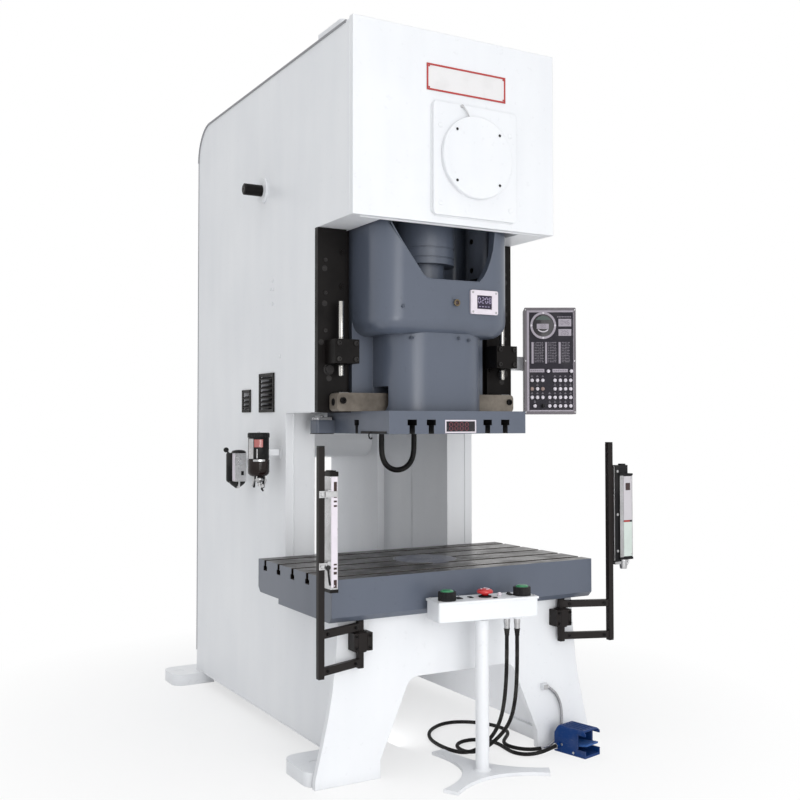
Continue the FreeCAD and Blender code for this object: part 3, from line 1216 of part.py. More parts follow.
# --- Cables, from the exit to the far end ---
PEDAL_CABLE_ROUTE = [
    (129.5, -227.7, 572.0), (130.0, -227.0, 470.0), (133.0, -220.0, 374.0), (138.0, -203.0, 288.0),
    (144.0, -172.0, 208.0), (144.0, -126.0, 142.0), (131.0, -76.0, 88.0), (111.0, -27.0, 44.0),
    (90.0, 20.0, 17.0), (73.0, 64.0, 8.5), (67.0, 105.2, 8.5), (79.3, 151.6, 8.5),
    (113.4, 185.7, 8.5), (160.0, 198.2, 8.5), (206.6, 185.7, 8.5), (240.7, 151.6, 8.5),
    (253.2, 105.0, 8.5), (251.0, 57.0, 8.5), (243.0, 8.0, 8.5), (240.0, -42.0, 8.5),
    (262.0, -88.0, 8.5), (303.0, -120.0, 14.0), (355.0, -127.0, 23.0), (409.5, -113.5, 27.9)]
CONSOLE_CABLE_ROUTE = [
    (94.1, -206.5, 572.0), (94.0, -206.0, 470.0), (95.0, -200.0, 374.0), (98.0, -184.0, 284.0),
    (103.0, -154.0, 204.0), (104.0, -110.0, 134.0), (95.0, -58.0, 76.0), (74.0, -6.0, 33.0),
    (48.0, 48.0, 12.0), (28.0, 112.0, 8.5), (18.0, 199.0, 8.5), (32.0, 300.0, 8.5),
    (85.0, 395.0, 8.5), (173.0, 458.0, 8.5), (249.0, 468.0, 8.5), (312.0, 438.0, 8.5),
    (356.0, 394.0, 8.5), (388.0, 339.0, 8.5), (403.0, 282.0, 8.5), (398.0, 226.0, 8.5),
    (371.0, 180.0, 8.5), (330.0, 142.0, 8.5), (293.0, 105.0, 8.5), (274.0, 62.0, 8.5),
    (278.0, 15.0, 8.5), (303.0, -30.0, 8.5), (348.0, -58.0, 8.5), (395.0, -60.0, 8.5)]
CONDUIT_ROUTE = [
    CONDUIT_START, CONDUIT_NEXT, (486.0, -38.0, 204.0), (500.0, -39.0, 160.0),
    (503.0, -40.0, 113.0), (493.0, -42.0, 69.0), (468.0, -47.0, 34.0), (434.0, -55.0, 14.0),
    (396.3, -59.8, 8.7)]


def build():
    os.makedirs("parts", exist_ok=True)
    right_side = side_plate()
    left_side = mirrored(right_side)
    for vent in (LARGE_VENT, SMALL_VENT):
        left_side = left_side.cut(vent_opening(vent))
    save("frame_side_right", right_side)
    save("frame_side_left", left_side)
    save("vent_grille_large", vent_grille(LARGE_VENT))
    save("vent_grille_small", vent_grille(SMALL_VENT))
    save("head_front_plate", head_front_plate())
    save("head_bottom_plate", head_bottom_plate())
    save("top_plate", top_plate())
    save("cross_plate", cross_plate())
    save("rear_cross_plate", rear_cross_plate())
    save("rear_plate", rear_plate())
    save("bed_front_plate", bed_front_plate())
    save("bed_top_plate", bed_top_plate())
    save("oil_pan", oil_pan())
    for name, maker in (("column", column), ("gib", gib), ("knockout_bracket", knockout_bracket),
                        ("knockout_rod", knockout_rod), ("guard_block", guard_block),
                        ("guard_gate", guard_gate)):
        right = maker()
        save(name + "_right", right)
        save(name + "_left", mirrored(right))
    save("frame_bolts", frame_bolts())
    save("lifting_bar", round_bar(V(-HALF - LIFT_BAR_OUT, LIFT_BAR[0], LIFT_BAR[1]), X, LIFT_BAR_R,
                                  FRAME_WIDTH + 2 * LIFT_BAR_OUT))
    save("head_pad", head_pad())
    save("round_cover", round_cover())
    save("crankshaft", crankshaft())
    save("con_rod", con_rod())
    save("main_gear", main_gear())
    save("pinion_shaft", pinion_shaft())
    save("flywheel", flywheel())
    save("drive_motor", drive_motor())
    save("motor_pulley", motor_pulley())
    save("drive_belts", drive_belts())
    save("slide_body", slide_body())
    save("slide_plate", slide_plate())
    save("slide_display", slide_display())
    save("slide_hose", cord("slide_hose", HOSE_ROUTE, HOSE_DIAMETER))
    save("knockout_bar", knockout_bar())
    save("bolster", bolster())
    save("bolster_disc", bolster_disc())
    save("filter_unit", filter_unit())
    save("lubricator_unit", lubricator_unit())
    save("curtain_unit_left", curtain_unit_left())
    save("curtain_unit_right", curtain_unit_right())
    save("panel_arm", panel_arm())
    save("control_panel", control_panel())
    save("console_box", console_box())
    save("console_stand", console_stand())
    save("palm_button_left", mushroom(-PALM_OFFSET, PALM_R, 22.0))
    save("palm_button_right", mushroom(PALM_OFFSET, PALM_R, 22.0))
    save("stop_button", mushroom(0.0, STOP_R, 30.0))
    save("pedal_housing", pedal_housing())
    save("pedal_treadle", pedal_treadle())
    save("pedal_cable", cord("pedal_cable", PEDAL_CABLE_ROUTE, CABLE_DIAMETER))
    save("console_cable", cord("console_cable", CONSOLE_CABLE_ROUTE, CABLE_DIAMETER))
    save("conduit", cord("conduit", CONDUIT_ROUTE, CONDUIT_DIAMETER))


build()
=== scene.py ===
"""The looks of a mechanical stamping press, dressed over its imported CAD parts."""
import json
from functools import partial
from itertools import product
from math import atan2, cos, pi, radians, sin

import bmesh
import bpy
from mathutils import Matrix, Vector


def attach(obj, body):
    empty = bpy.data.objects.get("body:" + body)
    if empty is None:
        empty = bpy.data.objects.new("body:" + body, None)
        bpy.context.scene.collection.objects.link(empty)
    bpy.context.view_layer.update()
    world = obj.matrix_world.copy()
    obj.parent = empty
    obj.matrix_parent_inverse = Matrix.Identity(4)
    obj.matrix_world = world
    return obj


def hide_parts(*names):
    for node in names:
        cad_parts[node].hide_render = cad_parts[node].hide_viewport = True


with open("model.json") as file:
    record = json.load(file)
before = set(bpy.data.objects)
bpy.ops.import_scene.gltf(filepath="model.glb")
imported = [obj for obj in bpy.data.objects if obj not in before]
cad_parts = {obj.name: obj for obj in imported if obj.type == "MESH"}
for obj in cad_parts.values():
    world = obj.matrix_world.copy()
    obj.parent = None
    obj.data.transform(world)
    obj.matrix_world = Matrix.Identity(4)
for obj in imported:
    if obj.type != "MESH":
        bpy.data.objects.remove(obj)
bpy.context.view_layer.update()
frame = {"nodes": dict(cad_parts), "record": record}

# The drawing frame: mm, X right, Y back from the head's front face, Z up from the floor.
HEAD_FACE_Y = -1.015
ROW = Matrix.Translation((0, HEAD_FACE_Y, 0)) @ Matrix.Scale(0.001, 4)


def at(x, y, z):
    """A point of the drawing, in metres in the row frame."""
    return ROW @ Vector((x, y, z))


def placed(x, y, z, turn):
    """Where a turned assembly stands: its origin, and its turn about Z in degrees."""
    return Matrix.Translation((x, y, z)) @ Matrix.Rotation(radians(turn), 4, "Z")


ON_PRESS = Matrix()
ON_PANEL = placed(640.0, 210.0, 1690.0, -30.15)
ON_CONSOLE = placed(-10.0, -200.0, 0.0, -8.0)
ON_PEDAL = placed(492.0, -156.0, 0.0, 103.0)


# --- Finishes ---
def shade(r, g, b):
    """A colour written as 0-255 screen values, made linear."""
    def channel(v):
        v /= 255.0
        return v / 12.92 if v <= 0.04045 else ((v + 0.055) / 1.055) ** 2.4
    return (channel(r), channel(g), channel(b), 1.0)


def add_node(tree, kind, sockets=None, **settings):
    """A shader node; sockets gives each input a value or a link."""
    made = tree.nodes.new(kind)
    for key, value in settings.items():
        setattr(made, key, value)
    for key, value in (sockets or {}).items():
        if isinstance(value, bpy.types.NodeSocket):
            tree.links.new(value, made.inputs[key])
        else:
            made.inputs[key].default_value = value
    return made


def plus(tree, first, second, clamp=False):
    made = add_node(tree, "ShaderNodeMath", {0: first, 1: second}, operation="ADD")
    made.use_clamp = clamp
    return made.outputs[0]


def times(tree, first, second):
    return add_node(tree, "ShaderNodeMath", {0: first, 1: second}, operation="MULTIPLY").outputs[0]


def mixed(tree, amount, first, second):
    """One colour laid over another by an amount from 0 to 1."""
    made = add_node(tree, "ShaderNodeMix", {0: amount, 6: first, 7: second}, data_type="RGBA")
    return made.outputs[2]


def between(tree, value, low, high, to_low=0.0, to_high=1.0):
    """A value's range, stretched onto another range."""
    made = add_node(tree, "ShaderNodeMapRange",
                    {0: value, 1: low, 2: high, 3: to_low, 4: to_high}, clamp=True)
    return made.outputs[0]


def noise(tree, scale, detail=3.0, stretch=(1.0, 1.0, 1.0)):
    """Noise that stays on the piece, in metres, and may be drawn out along an axis."""
    place = add_node(tree, "ShaderNodeTexCoord").outputs["Object"]
    spread = add_node(tree, "ShaderNodeMapping", {"Vector": place, "Scale": stretch}).outputs[0]
    return add_node(tree, "ShaderNodeTexNoise", {"Vector": spread, "Scale": scale,
                                                 "Detail": detail}).outputs["Fac"]


def effect(name, inputs, outputs, draw):
    """A shader group with named inputs and outputs."""
    group = bpy.data.node_groups.new(name, "ShaderNodeTree")
    for label, kind, value in inputs:
        socket = group.interface.new_socket(name=label, in_out="INPUT", socket_type="NodeSocket" + kind)
        socket.default_value = value
    for label, kind in outputs:
        group.interface.new_socket(name=label, in_out="OUTPUT", socket_type="NodeSocket" + kind)
    given = group.nodes.new("NodeGroupInput").outputs
    ends = group.nodes.new("NodeGroupOutput").inputs
    for label, socket in draw(group, given).items():
        group.links.new(socket, ends[label])
    return group


def draw_soft_edges(tree, given):
    """Rounded edges in the light, and a mask of where they are."""
    soft = add_node(tree, "ShaderNodeBevel", {"Radius": given["Radius"]}, samples=4)
    true = add_node(tree, "ShaderNodeNewGeometry").outputs["True Normal"]
    along = add_node(tree, "ShaderNodeVectorMath", {0: soft.outputs[0], 1: true},
                     operation="DOT_PRODUCT").outputs["Value"]
    return {"Normal": soft.outputs[0], "Edge": between(tree, along, 0.99, 0.75)}


def draw_paint_coat(tree, given):
    """Sprayed paint: broad uneven tone, painted shade in the corners with small dust spots, orange peel."""
    broad = noise(tree, 1.7, 4.0)
    runs = noise(tree, 5.0, 3.0, (2.0, 2.0, 0.35))
    spots = between(tree, noise(tree, 46.0, 2.0), 0.66, 0.74)
    tone = plus(tree, times(tree, broad, 0.65), times(tree, runs, 0.35))
    tone = between(tree, tone, 0.36, 0.66)
    colour = mixed(tree, times(tree, tone, given["Unevenness"]), given["Colour"],
                   given["Dull colour"])
    # Painted shade: the occlusion darkens corners, recesses and the gaps between parts, thinned along the
    # vertical runs; small dust spots are laid over it.
    corner = add_node(tree, "ShaderNodeAmbientOcclusion", {"Distance": 0.07}, samples=6).outputs["AO"]
    shade_and_grime = times(tree, between(tree, corner, 0.75, 0.25), given["Shade and grime"])
    shade_and_grime = times(tree, shade_and_grime, between(tree, runs, 0.3, 0.7, 0.55, 1.0))
    shade_and_grime = plus(tree, shade_and_grime, times(tree, spots, times(tree, given["Shade and grime"], 0.22)),
                True)
    colour = mixed(tree, shade_and_grime, colour, given["Shade and grime colour"])
    colour = mixed(tree, times(tree, given["Edge"], given["Edge wear"]), colour,
                   given["Worn colour"])
    peel = noise(tree, 420.0, 2.0)
    waves = noise(tree, 22.0, 2.0)
    height = plus(tree, times(tree, peel, 0.35), times(tree, waves, 0.65))
    rough = plus(tree, given["Roughness"], times(tree, tone, 0.08))
    rough = plus(tree, rough, times(tree, shade_and_grime, 0.25), True)
    return {"Colour": colour, "Roughness": rough, "Height": height}


def draw_machined(tree, given):
    """Cut or ground metal: fine marks along one direction, oil stains, bright worn edges."""
    place = add_node(tree, "ShaderNodeTexCoord").outputs["Object"]
    spread = add_node(tree, "ShaderNodeVectorMath", {0: place, 1: given["Marks"]}, operation="MULTIPLY")
    marks = add_node(tree, "ShaderNodeTexNoise", {"Vector": spread.outputs[0], "Scale": 1.0,
                                                  "Detail": 4.0}).outputs["Fac"]
    stains = between(tree, noise(tree, 9.0, 5.0), 0.42, 0.68)
    rubs = between(tree, noise(tree, 38.0, 4.0), 0.5, 0.72)
    colour = mixed(tree, times(tree, stains, given["Stain"]), given["Colour"],
                   given["Stain colour"])
    colour = mixed(tree, times(tree, between(tree, marks, 0.35, 0.65), 0.22), colour,
                   given["Stain colour"])
    colour = mixed(tree, times(tree, given["Edge"], given["Edge wear"]), colour,
                   given["Worn colour"])
    rough = plus(tree, given["Roughness"], times(tree, stains, 0.16))
    rough = plus(tree, rough, times(tree, rubs, -0.1), True)
    height = plus(tree, times(tree, marks, 0.7), times(tree, rubs, 0.3))
    return {"Colour": colour, "Roughness": rough, "Height": height}


def draw_moulded(tree, given):
    """Moulded plastic, rubber or lacquer: fine grain, dust and faint scuffs."""
    grain = noise(tree, given["Grain"], 2.0)
    dust = between(tree, noise(tree, 14.0, 5.0), 0.48, 0.75)
    scuffs = between(tree, noise(tree, 60.0, 3.0, (1.0, 1.0, 4.0)), 0.62, 0.78)
    marks = plus(tree, times(tree, dust, given["Dust"]),
                 times(tree, plus(tree, scuffs, given["Edge"], True), given["Scuff"]), True)
    return {"Colour": mixed(tree, marks, given["Colour"], given["Dust colour"]),
            "Roughness": plus(tree, given["Roughness"], times(tree, marks, 0.3), True),
            "Height": grain}


SOFT_EDGES = effect("soft_edges", [("Radius", "Float", 0.002)],
                    [("Normal", "Vector"), ("Edge", "Float")], draw_soft_edges)
SKIN_OUTPUTS = [("Colour", "Color"), ("Roughness", "Float"), ("Height", "Float")]
# Its darkening amount and colour give painted shade in corners and recesses, together with dust spots.
PAINT_COAT = effect("paint_coat", [
    ("Colour", "Color", (0.8, 0.8, 0.8, 1)), ("Dull colour", "Color", (0.6, 0.6, 0.6, 1)),
    ("Unevenness", "Float", 0.3), ("Shade and grime colour", "Color", (0.2, 0.19, 0.18, 1)), ("Shade and grime", "Float", 0.3),
    ("Edge", "Float", 0.0), ("Edge wear", "Float", 0.2), ("Worn colour", "Color", (0.7, 0.7, 0.7, 1)),
    ("Roughness", "Float", 0.4)], SKIN_OUTPUTS, draw_paint_coat)
MACHINED = effect("machined_metal", [
    ("Colour", "Color", (0.5, 0.5, 0.5, 1)), ("Stain colour", "Color", (0.2, 0.2, 0.2, 1)),
    ("Stain", "Float", 0.4), ("Marks", "Vector", (20.0, 400.0, 20.0)), ("Edge", "Float", 0.0),
    ("Edge wear", "Float", 0.3), ("Worn colour", "Color", (0.7, 0.7, 0.7, 1)),
    ("Roughness", "Float", 0.3)], SKIN_OUTPUTS, draw_machined)
MOULDED = effect("moulded_skin", [
    ("Colour", "Color", (0.1, 0.1, 0.1, 1)), ("Dust colour", "Color", (0.4, 0.4, 0.38, 1)),
    ("Dust", "Float", 0.1), ("Scuff", "Float", 0.1), ("Edge", "Float", 0.0), ("Grain", "Float", 700.0),
    ("Roughness", "Float", 0.5)], SKIN_OUTPUTS, draw_moulded)

FINISH = {}


def finish(name, slot, skin, edge_radius, bump, values, **shader):
    """A finish: one Principled shader fed by a skin effect and by soft edges."""
    material = bpy.data.materials.new(name)
    material.use_nodes = True
    tree = material.node_tree
    principled = next(n for n in tree.nodes if n.type == "BSDF_PRINCIPLED")
    edges = add_node(tree, "ShaderNodeGroup", node_tree=SOFT_EDGES)
    edges.inputs["Radius"].default_value = edge_radius
    surface = add_node(tree, "ShaderNodeGroup", node_tree=skin)
    for key, value in values.items():
        surface.inputs[key].default_value = value
    tree.links.new(edges.outputs["Edge"], surface.inputs["Edge"])
    relief = add_node(tree, "ShaderNodeBump", {"Strength": 0.6, "Distance": bump,
                                               "Height": surface.outputs["Height"],
                                               "Normal": edges.outputs["Normal"]})
    tree.links.new(surface.outputs["Colour"], principled.inputs["Base Color"])
    tree.links.new(surface.outputs["Roughness"], principled.inputs["Roughness"])
    tree.links.new(relief.outputs[0], principled.inputs["Normal"])
    for key, value in shader.items():
        principled.inputs[key.replace("_", " ")].default_value = value
    material.diffuse_color = values["Colour"]
    FINISH[name] = material


# Painted shade: the paint darkens in corners and recesses, from the occlusion, by the given amount and
# towards the given colour, with small dust spots added.
def paint(name, slot, colour, dull, shade_and_grime=0.3, wear=0.15, rough=0.36, worn=(150, 152, 155),
          shade_and_grime_colour=(88, 84, 78), uneven=0.5, edge=0.003, bump=0.0005):
    finish(name, slot, PAINT_COAT, edge, bump, {
        "Colour": shade(*colour), "Dull colour": shade(*dull), "Unevenness": uneven,
        "Shade and grime colour": shade(*shade_and_grime_colour), "Shade and grime": shade_and_grime, "Edge wear": wear,
        "Worn colour": shade(*worn), "Roughness": rough}, Coat_Weight=0.12, Coat_Roughness=0.25)


def metal(name, slot, colour, stain_colour, stain=0.4, marks=(20.0, 400.0, 20.0), rough=0.3,
          wear=0.35, worn=(190, 188, 184), edge=0.0015, bump=0.0002, metallic=1.0):
    finish(name, slot, MACHINED, edge, bump, {
        "Colour": shade(*colour), "Stain colour": shade(*stain_colour), "Stain": stain, "Marks": marks,
        "Edge wear": wear, "Worn colour": shade(*worn), "Roughness": rough}, Metallic=metallic)


def moulded(name, slot, colour, rough=0.45, dust=0.08, scuff=0.12, grain=700.0, edge=0.0012,
            dust_colour=(140, 138, 132), bump=0.0002, **shader):
    finish(name, slot, MOULDED, edge, bump, {
        "Colour": shade(*colour), "Dust colour": shade(*dust_colour), "Dust": dust, "Scuff": scuff,
        "Grain": grain, "Roughness": rough}, **shader)


paint("frame_white", "frame_paint", (240, 241, 243), (226, 228, 232), shade_and_grime=0.28, wear=0.1,
      worn=(214, 214, 214), shade_and_grime_colour=(150, 150, 152))
paint("slide_grey", "slide_paint", (89, 96, 110), (78, 85, 98), shade_and_grime=0.45, wear=0.22,
      worn=(150, 156, 166), shade_and_grime_colour=(40, 43, 48), rough=0.33)
paint("guard_black", "dark_steel", (30, 25, 24), (20, 17, 16), shade_and_grime=0.15, wear=0.25,
      worn=(84, 80, 78), shade_and_grime_colour=(56, 50, 46), rough=0.42, edge=0.0012)
metal("gib_iron", "dark_steel", (20, 17, 16), (11, 9, 9), stain=0.7, marks=(40.0, 40.0, 300.0), rough=0.42,
      wear=0.2, worn=(66, 60, 58), metallic=0.0)
metal("disc_grey", "slide_paint", (104, 107, 124), (78, 80, 92), stain=0.4, marks=(30.0, 260.0, 30.0),
      rough=0.3, wear=0.4, metallic=0.15)
metal("machined_steel", "bare_steel", (150, 150, 152), (82, 80, 78), stain=0.5, rough=0.3)
metal("bar_steel", "worn_steel", (128, 120, 110), (84, 77, 70), stain=0.7, marks=(60.0, 60.0, 60.0),
      rough=0.55, wear=0.25, bump=0.0004, metallic=0.4)
metal("chrome", "chrome_rod", (206, 204, 200), (120, 116, 110), stain=0.2, marks=(30.0, 30.0, 500.0),
      rough=0.14, wear=0.1)
metal("gear_iron", "cast_iron", (92, 90, 88), (44, 42, 40), stain=0.6, rough=0.48, bump=0.0005)
metal("black_screws", "dark_steel", (34, 33, 34), (18, 17, 17), stain=0.4, marks=(200.0, 200.0, 200.0),
      rough=0.36, wear=0.5, worn=(120, 118, 116), edge=0.0008)
moulded("bolt_black", "dark_steel", (44, 42, 42), rough=0.4, dust=0.1, scuff=0.2)
metal("zinc", "silver", (196, 196, 198), (120, 118, 116), stain=0.35, marks=(120.0, 120.0, 120.0),
      rough=0.3, wear=0.2)
moulded("plastic_black", "black_plastic", (24, 24, 26), rough=0.38)
moulded("membrane_dark", "panel_paint", (44, 42, 50), rough=0.42, dust=0.05)
moulded("panel_grey", "panel_paint", (98, 92, 98), rough=0.45, dust=0.12)
moulded("bezel_lilac", "panel_paint", (160, 152, 163), rough=0.4, dust=0.1, scuff=0.2)
moulded("bezel_white", "white_bezel", (226, 218, 226), rough=0.4, dust=0.1)
moulded("palm_green", "green_button", (20, 122, 74), rough=0.3, dust=0.04, Coat_Weight=0.4)
moulded("stop_red", "red_button", (196, 30, 34), rough=0.3, dust=0.04, Coat_Weight=0.4)
moulded("pedal_blue", "blue_guard", (14, 54, 112), rough=0.42, dust=0.12, scuff=0.25, grain=260.0,
        bump=0.0006)
moulded("rubber_black", "cable_rubber", (22, 21, 21), rough=0.55, dust=0.12, grain=500.0)
moulded("hose_black", "hose_rubber", (20, 19, 20), rough=0.42, dust=0.08, grain=300.0)
metal("conduit_steel", "conduit_metal", (168, 168, 172), (96, 96, 98), stain=0.5,
      marks=(200.0, 200.0, 200.0), rough=0.32)
moulded("plate_white", "frame_paint", (232, 230, 230), rough=0.35, dust=0.1)
moulded("border_red", "red_button", (178, 54, 52), rough=0.4, dust=0.1)
moulded("screen_violet", "panel_paint", (44, 37, 56), rough=0.16, dust=0.06, Coat_Weight=0.5)
moulded("screen_dark", "panel_paint", (34, 30, 36), rough=0.14, dust=0.08, Coat_Weight=0.5)
moulded("dial_green", "panel_paint", (38, 62, 56), rough=0.2, dust=0.05)
moulded("digits_pale", "white_bezel", (170, 160, 190), rough=0.4, dust=0.05)
moulded("segments_red", "red_button", (98, 26, 42), rough=0.3, dust=0.05)
moulded("lines_grey", "panel_paint", (120, 114, 124), rough=0.5, dust=0.1)
moulded("board_black", "panel_paint", (36, 33, 42), rough=0.4, dust=0.06)
moulded("key_white", "white_bezel", (214, 208, 216), rough=0.38, dust=0.08)
moulded("key_brown", "panel_paint", (150, 128, 122), rough=0.4, dust=0.08)
metal("brass", "bare_steel", (122, 108, 84), (72, 60, 44), stain=0.3, marks=(300.0, 300.0, 300.0),
      rough=0.26)
# Painted light: a lighter copy of the slide's grey for the splash plate, standing in for light that reaches
# the well in shade.
paint("well_lit_grey", "slide_paint", (112, 118, 132), (98, 104, 117), shade_and_grime=0.6, wear=0.2)
moulded("sight_red", "red_button", (176, 96, 92), rough=0.2, dust=0.1, Coat_Weight=0.4)
moulded("lens_dark", "black_plastic", (58, 40, 38), rough=0.12, dust=0.06, Coat_Weight=0.6)
moulded("bowl_dark", "black_plastic", (30, 18, 17), rough=0.2, dust=0.06, Coat_Weight=0.15)
moulded("curtain_green", "silver", (206, 216, 210), rough=0.35, dust=0.12)
moulded("curtain_silver", "silver", (200, 196, 200), rough=0.35, dust=0.1)
moulded("treadle_blue", "blue_guard", (36, 84, 150), rough=0.4, dust=0.15, scuff=0.3, grain=260.0,
        bump=0.0006)
# A grey for painted shade along the side plates' top and rear edges.
moulded("edge_shade_grey", "frame_paint", (146, 146, 150), rough=0.5, dust=0.2)

# The dark finishes shine less than bare plastic or metal, so that they stay dark under the lamps.
DARK_SHEEN = 0.14
for name in ("guard_black", "gib_iron", "black_screws", "bolt_black", "plastic_black", "membrane_dark",
             "board_black", "rubber_black", "hose_black", "bowl_dark", "lens_dark", "screen_dark",
             "screen_violet", "pedal_blue", "treadle_blue"):
    dark = next(n for n in FINISH[name].node_tree.nodes if n.type == "BSDF_PRINCIPLED")
    dark.inputs["Specular IOR Level"].default_value = DARK_SHEEN


def laid_over(name, base, skin, values, find_mask, metallic=0.0):
    """A finish with a second skin over part of it; find_mask(tree) gives the place from 0 to 1."""
    material = FINISH[base].copy()
    material.name = name
    tree = material.node_tree
    principled = next(n for n in tree.nodes if n.type == "BSDF_PRINCIPLED")
    cut = find_mask(tree)
    surface = add_node(tree, "ShaderNodeGroup", node_tree=skin)
    for key, value in values.items():
        surface.inputs[key].default_value = value
    edges = next(n for n in tree.nodes if n.type == "GROUP" and n.node_tree == SOFT_EDGES)
    tree.links.new(edges.outputs["Edge"], surface.inputs["Edge"])
    for label, target in (("Colour", "Base Color"), ("Roughness", "Roughness")):
        painted = principled.inputs[target].links[0].from_socket
        tree.links.new(mixed(tree, cut, painted, surface.outputs[label]), principled.inputs[target])
    bare = between(tree, cut, 0.0, 1.0, principled.inputs["Metallic"].default_value, metallic)
    tree.links.new(bare, principled.inputs["Metallic"])
    FINISH[name] = material


def inside(low, high):
    """The mask of what lies between two corners, in metres."""
    def find_mask(tree):
        place = add_node(tree, "ShaderNodeTexCoord").outputs["Object"]
        parts = add_node(tree, "ShaderNodeSeparateXYZ", {0: place}).outputs
        cut = 1.0
        for axis, start, end in zip("XYZ", low, high):
            cut = times(tree, cut, between(tree, parts[axis], start, start + 0.001))
            cut = times(tree, cut, between(tree, parts[axis], end, end - 0.001))
        return cut
    return find_mask


laid_over("table_top", "slide_grey", MACHINED, {
    "Colour": shade(50, 44, 41), "Stain colour": shade(24, 18, 16), "Stain": 0.8,
    "Marks": (14.0, 420.0, 14.0), "Edge wear": 0.7, "Worn colour": shade(190, 186, 180),
    "Roughness": 0.34}, inside(at(-632, -87, 665), at(632, 657, 2000)), 0.7)
laid_over("slide_underside", "slide_grey", MACHINED, {
    "Colour": shade(70, 70, 72), "Stain colour": shade(24, 22, 22), "Stain": 0.9,
    "Marks": (14.0, 420.0, 14.0), "Edge wear": 0.3, "Worn colour": shade(150, 148, 146),
    "Roughness": 0.42}, inside(at(-337.2, -5.2, 0), at(337.2, 585, 1453.5)), 0.6)

NODE_FINISH = {
    "frame_paint": "frame_white", "slide_paint": "slide_grey", "dark_steel": "guard_black",
    "bare_steel": "machined_steel", "worn_steel": "bar_steel", "chrome_rod": "chrome",
    "cast_iron": "gear_iron", "black_plastic": "plastic_black", "white_bezel": "bezel_white",
    "silver": "zinc", "panel_paint": "panel_grey", "green_button": "palm_green",
    "red_button": "stop_red", "blue_guard": "pedal_blue", "cable_rubber": "rubber_black",
    "conduit_metal": "conduit_steel", "hose_rubber": "hose_black"}
SPECIAL_FINISH = {
    "bolster": "table_top", "bolster_disc": "disc_grey", "slide_plate": "slide_underside",
    "con_rod": "slide_grey", "curtain_unit_right": "plastic_black", "pedal_treadle": "treadle_blue",
    "lifting_bar": "gib_iron", "vent_grille_large": "gib_iron", "vent_grille_small": "gib_iron",
    "gib_left": "gib_iron", "gib_right": "gib_iron",
    "knockout_bracket_left": "gib_iron", "knockout_bracket_right": "gib_iron"}


def finish_nodes():
    """Every CAD node that stays in view gets the finish of its slot."""
    for part in frame["record"]["subparts"]:
        name = SPECIAL_FINISH.get(part["node"], NODE_FINISH[part["material_slot"]])
        mesh = frame["nodes"][part["node"]].data
        mesh.materials.clear()
        mesh.materials.append(FINISH[name])


finish_nodes()


# --- Shapes ---
FRONT, UP, DOWN = (0, -1, 0), (0, 0, 1), (0, 0, -1)
SIDES = (-1, 1)


def add_box(draft, x0, x1, y0, y1, z0, z1):
    """A block between two values on each axis."""
    corners = [draft.verts.new((x, y, z)) for x in (x0, x1) for y in (y0, y1) for z in (z0, z1)]
    for face in ((0, 1, 3, 2), (4, 6, 7, 5), (0, 4, 5, 1), (2, 3, 7, 6), (0, 2, 6, 4), (1, 5, 7, 3)):
        draft.faces.new([corners[i] for i in face])


def add_boxes(draft, *boxes):
    for box in boxes:
        add_box(draft, *box)


def add_prism(draft, points, sweep):
    """A closed outline, pushed along a vector."""
    near = [draft.verts.new(p) for p in points]
    far = [draft.verts.new(Vector(p) + Vector(sweep)) for p in points]
    draft.faces.new(near)
    draft.faces.new(far)
    for i in range(len(near)):
        j = (i + 1) % len(near)
        draft.faces.new((near[i], near[j], far[j], far[i]))


def around(count, first=0.0):
    """Even steps round a circle, each as a cosine and a sine."""
    angles = [first + 2 * pi * i / count for i in range(count)]
    return [(cos(a), sin(a)) for a in angles]


def add_turned(draft, start, axis, profile, steps=32, hollow=False):
    """A turned shape: radius and distance along the axis, point by point; hollow closes it as a ring."""
    axis = Vector(axis).normalized()
    side = axis.orthogonal().normalized()
    other = axis.cross(side)
    rings = []
    for radius, along in profile:
        centre = Vector(start) + axis * along
        if radius < 1e-6:
            rings.append([draft.verts.new(centre)])
            continue
        rings.append([draft.verts.new(centre + side * (radius * c) + other * (radius * s))
                      for c, s in around(steps)])
    pairs = list(zip(rings, rings[1:])) + ([(rings[-1], rings[0])] if hollow else [])
    for low, high in pairs:
        for i in range(steps):
            j = (i + 1) % steps
            corners = [low[i % len(low)], low[j % len(low)], high[j % len(high)], high[i % len(high)]]
            face = list(dict.fromkeys(corners))
            if len(face) > 2:
                draft.faces.new(face)
    if not hollow:
        for ring in (rings[0], rings[-1]):
            if len(ring) > 2:
                draft.faces.new(ring)


def add_hexagon(draft, start, axis, across, length):
    """A six-sided nut or bolt head; across is its width over the flats."""
    add_turned(draft, start, axis, [(across / 3 ** 0.5, 0), (across / 3 ** 0.5, length)], 6)


def add_pipe(draft, points, radius, steps=12):
    """A round bar that follows points."""
    points = [Vector(p) for p in points]
    rings = []
    side = (points[1] - points[0]).orthogonal().normalized()
    for i, here in enumerate(points):
        way = (points[min(i + 1, len(points) - 1)] - points[max(i - 1, 0)]).normalized()
        side = (side - way * side.dot(way)).normalized()
        other = way.cross(side)
        size = radius[i] if isinstance(radius, list) else radius
        rings.append([draft.verts.new(here + side * (size * c) + other * (size * s))
                      for c, s in around(steps)])
    for low, high in zip(rings, rings[1:]):
        for k in range(steps):
            m = (k + 1) % steps
            draft.faces.new((low[k], low[m], high[m], high[k]))
    draft.faces.new(rings[0])
    draft.faces.new(rings[-1])


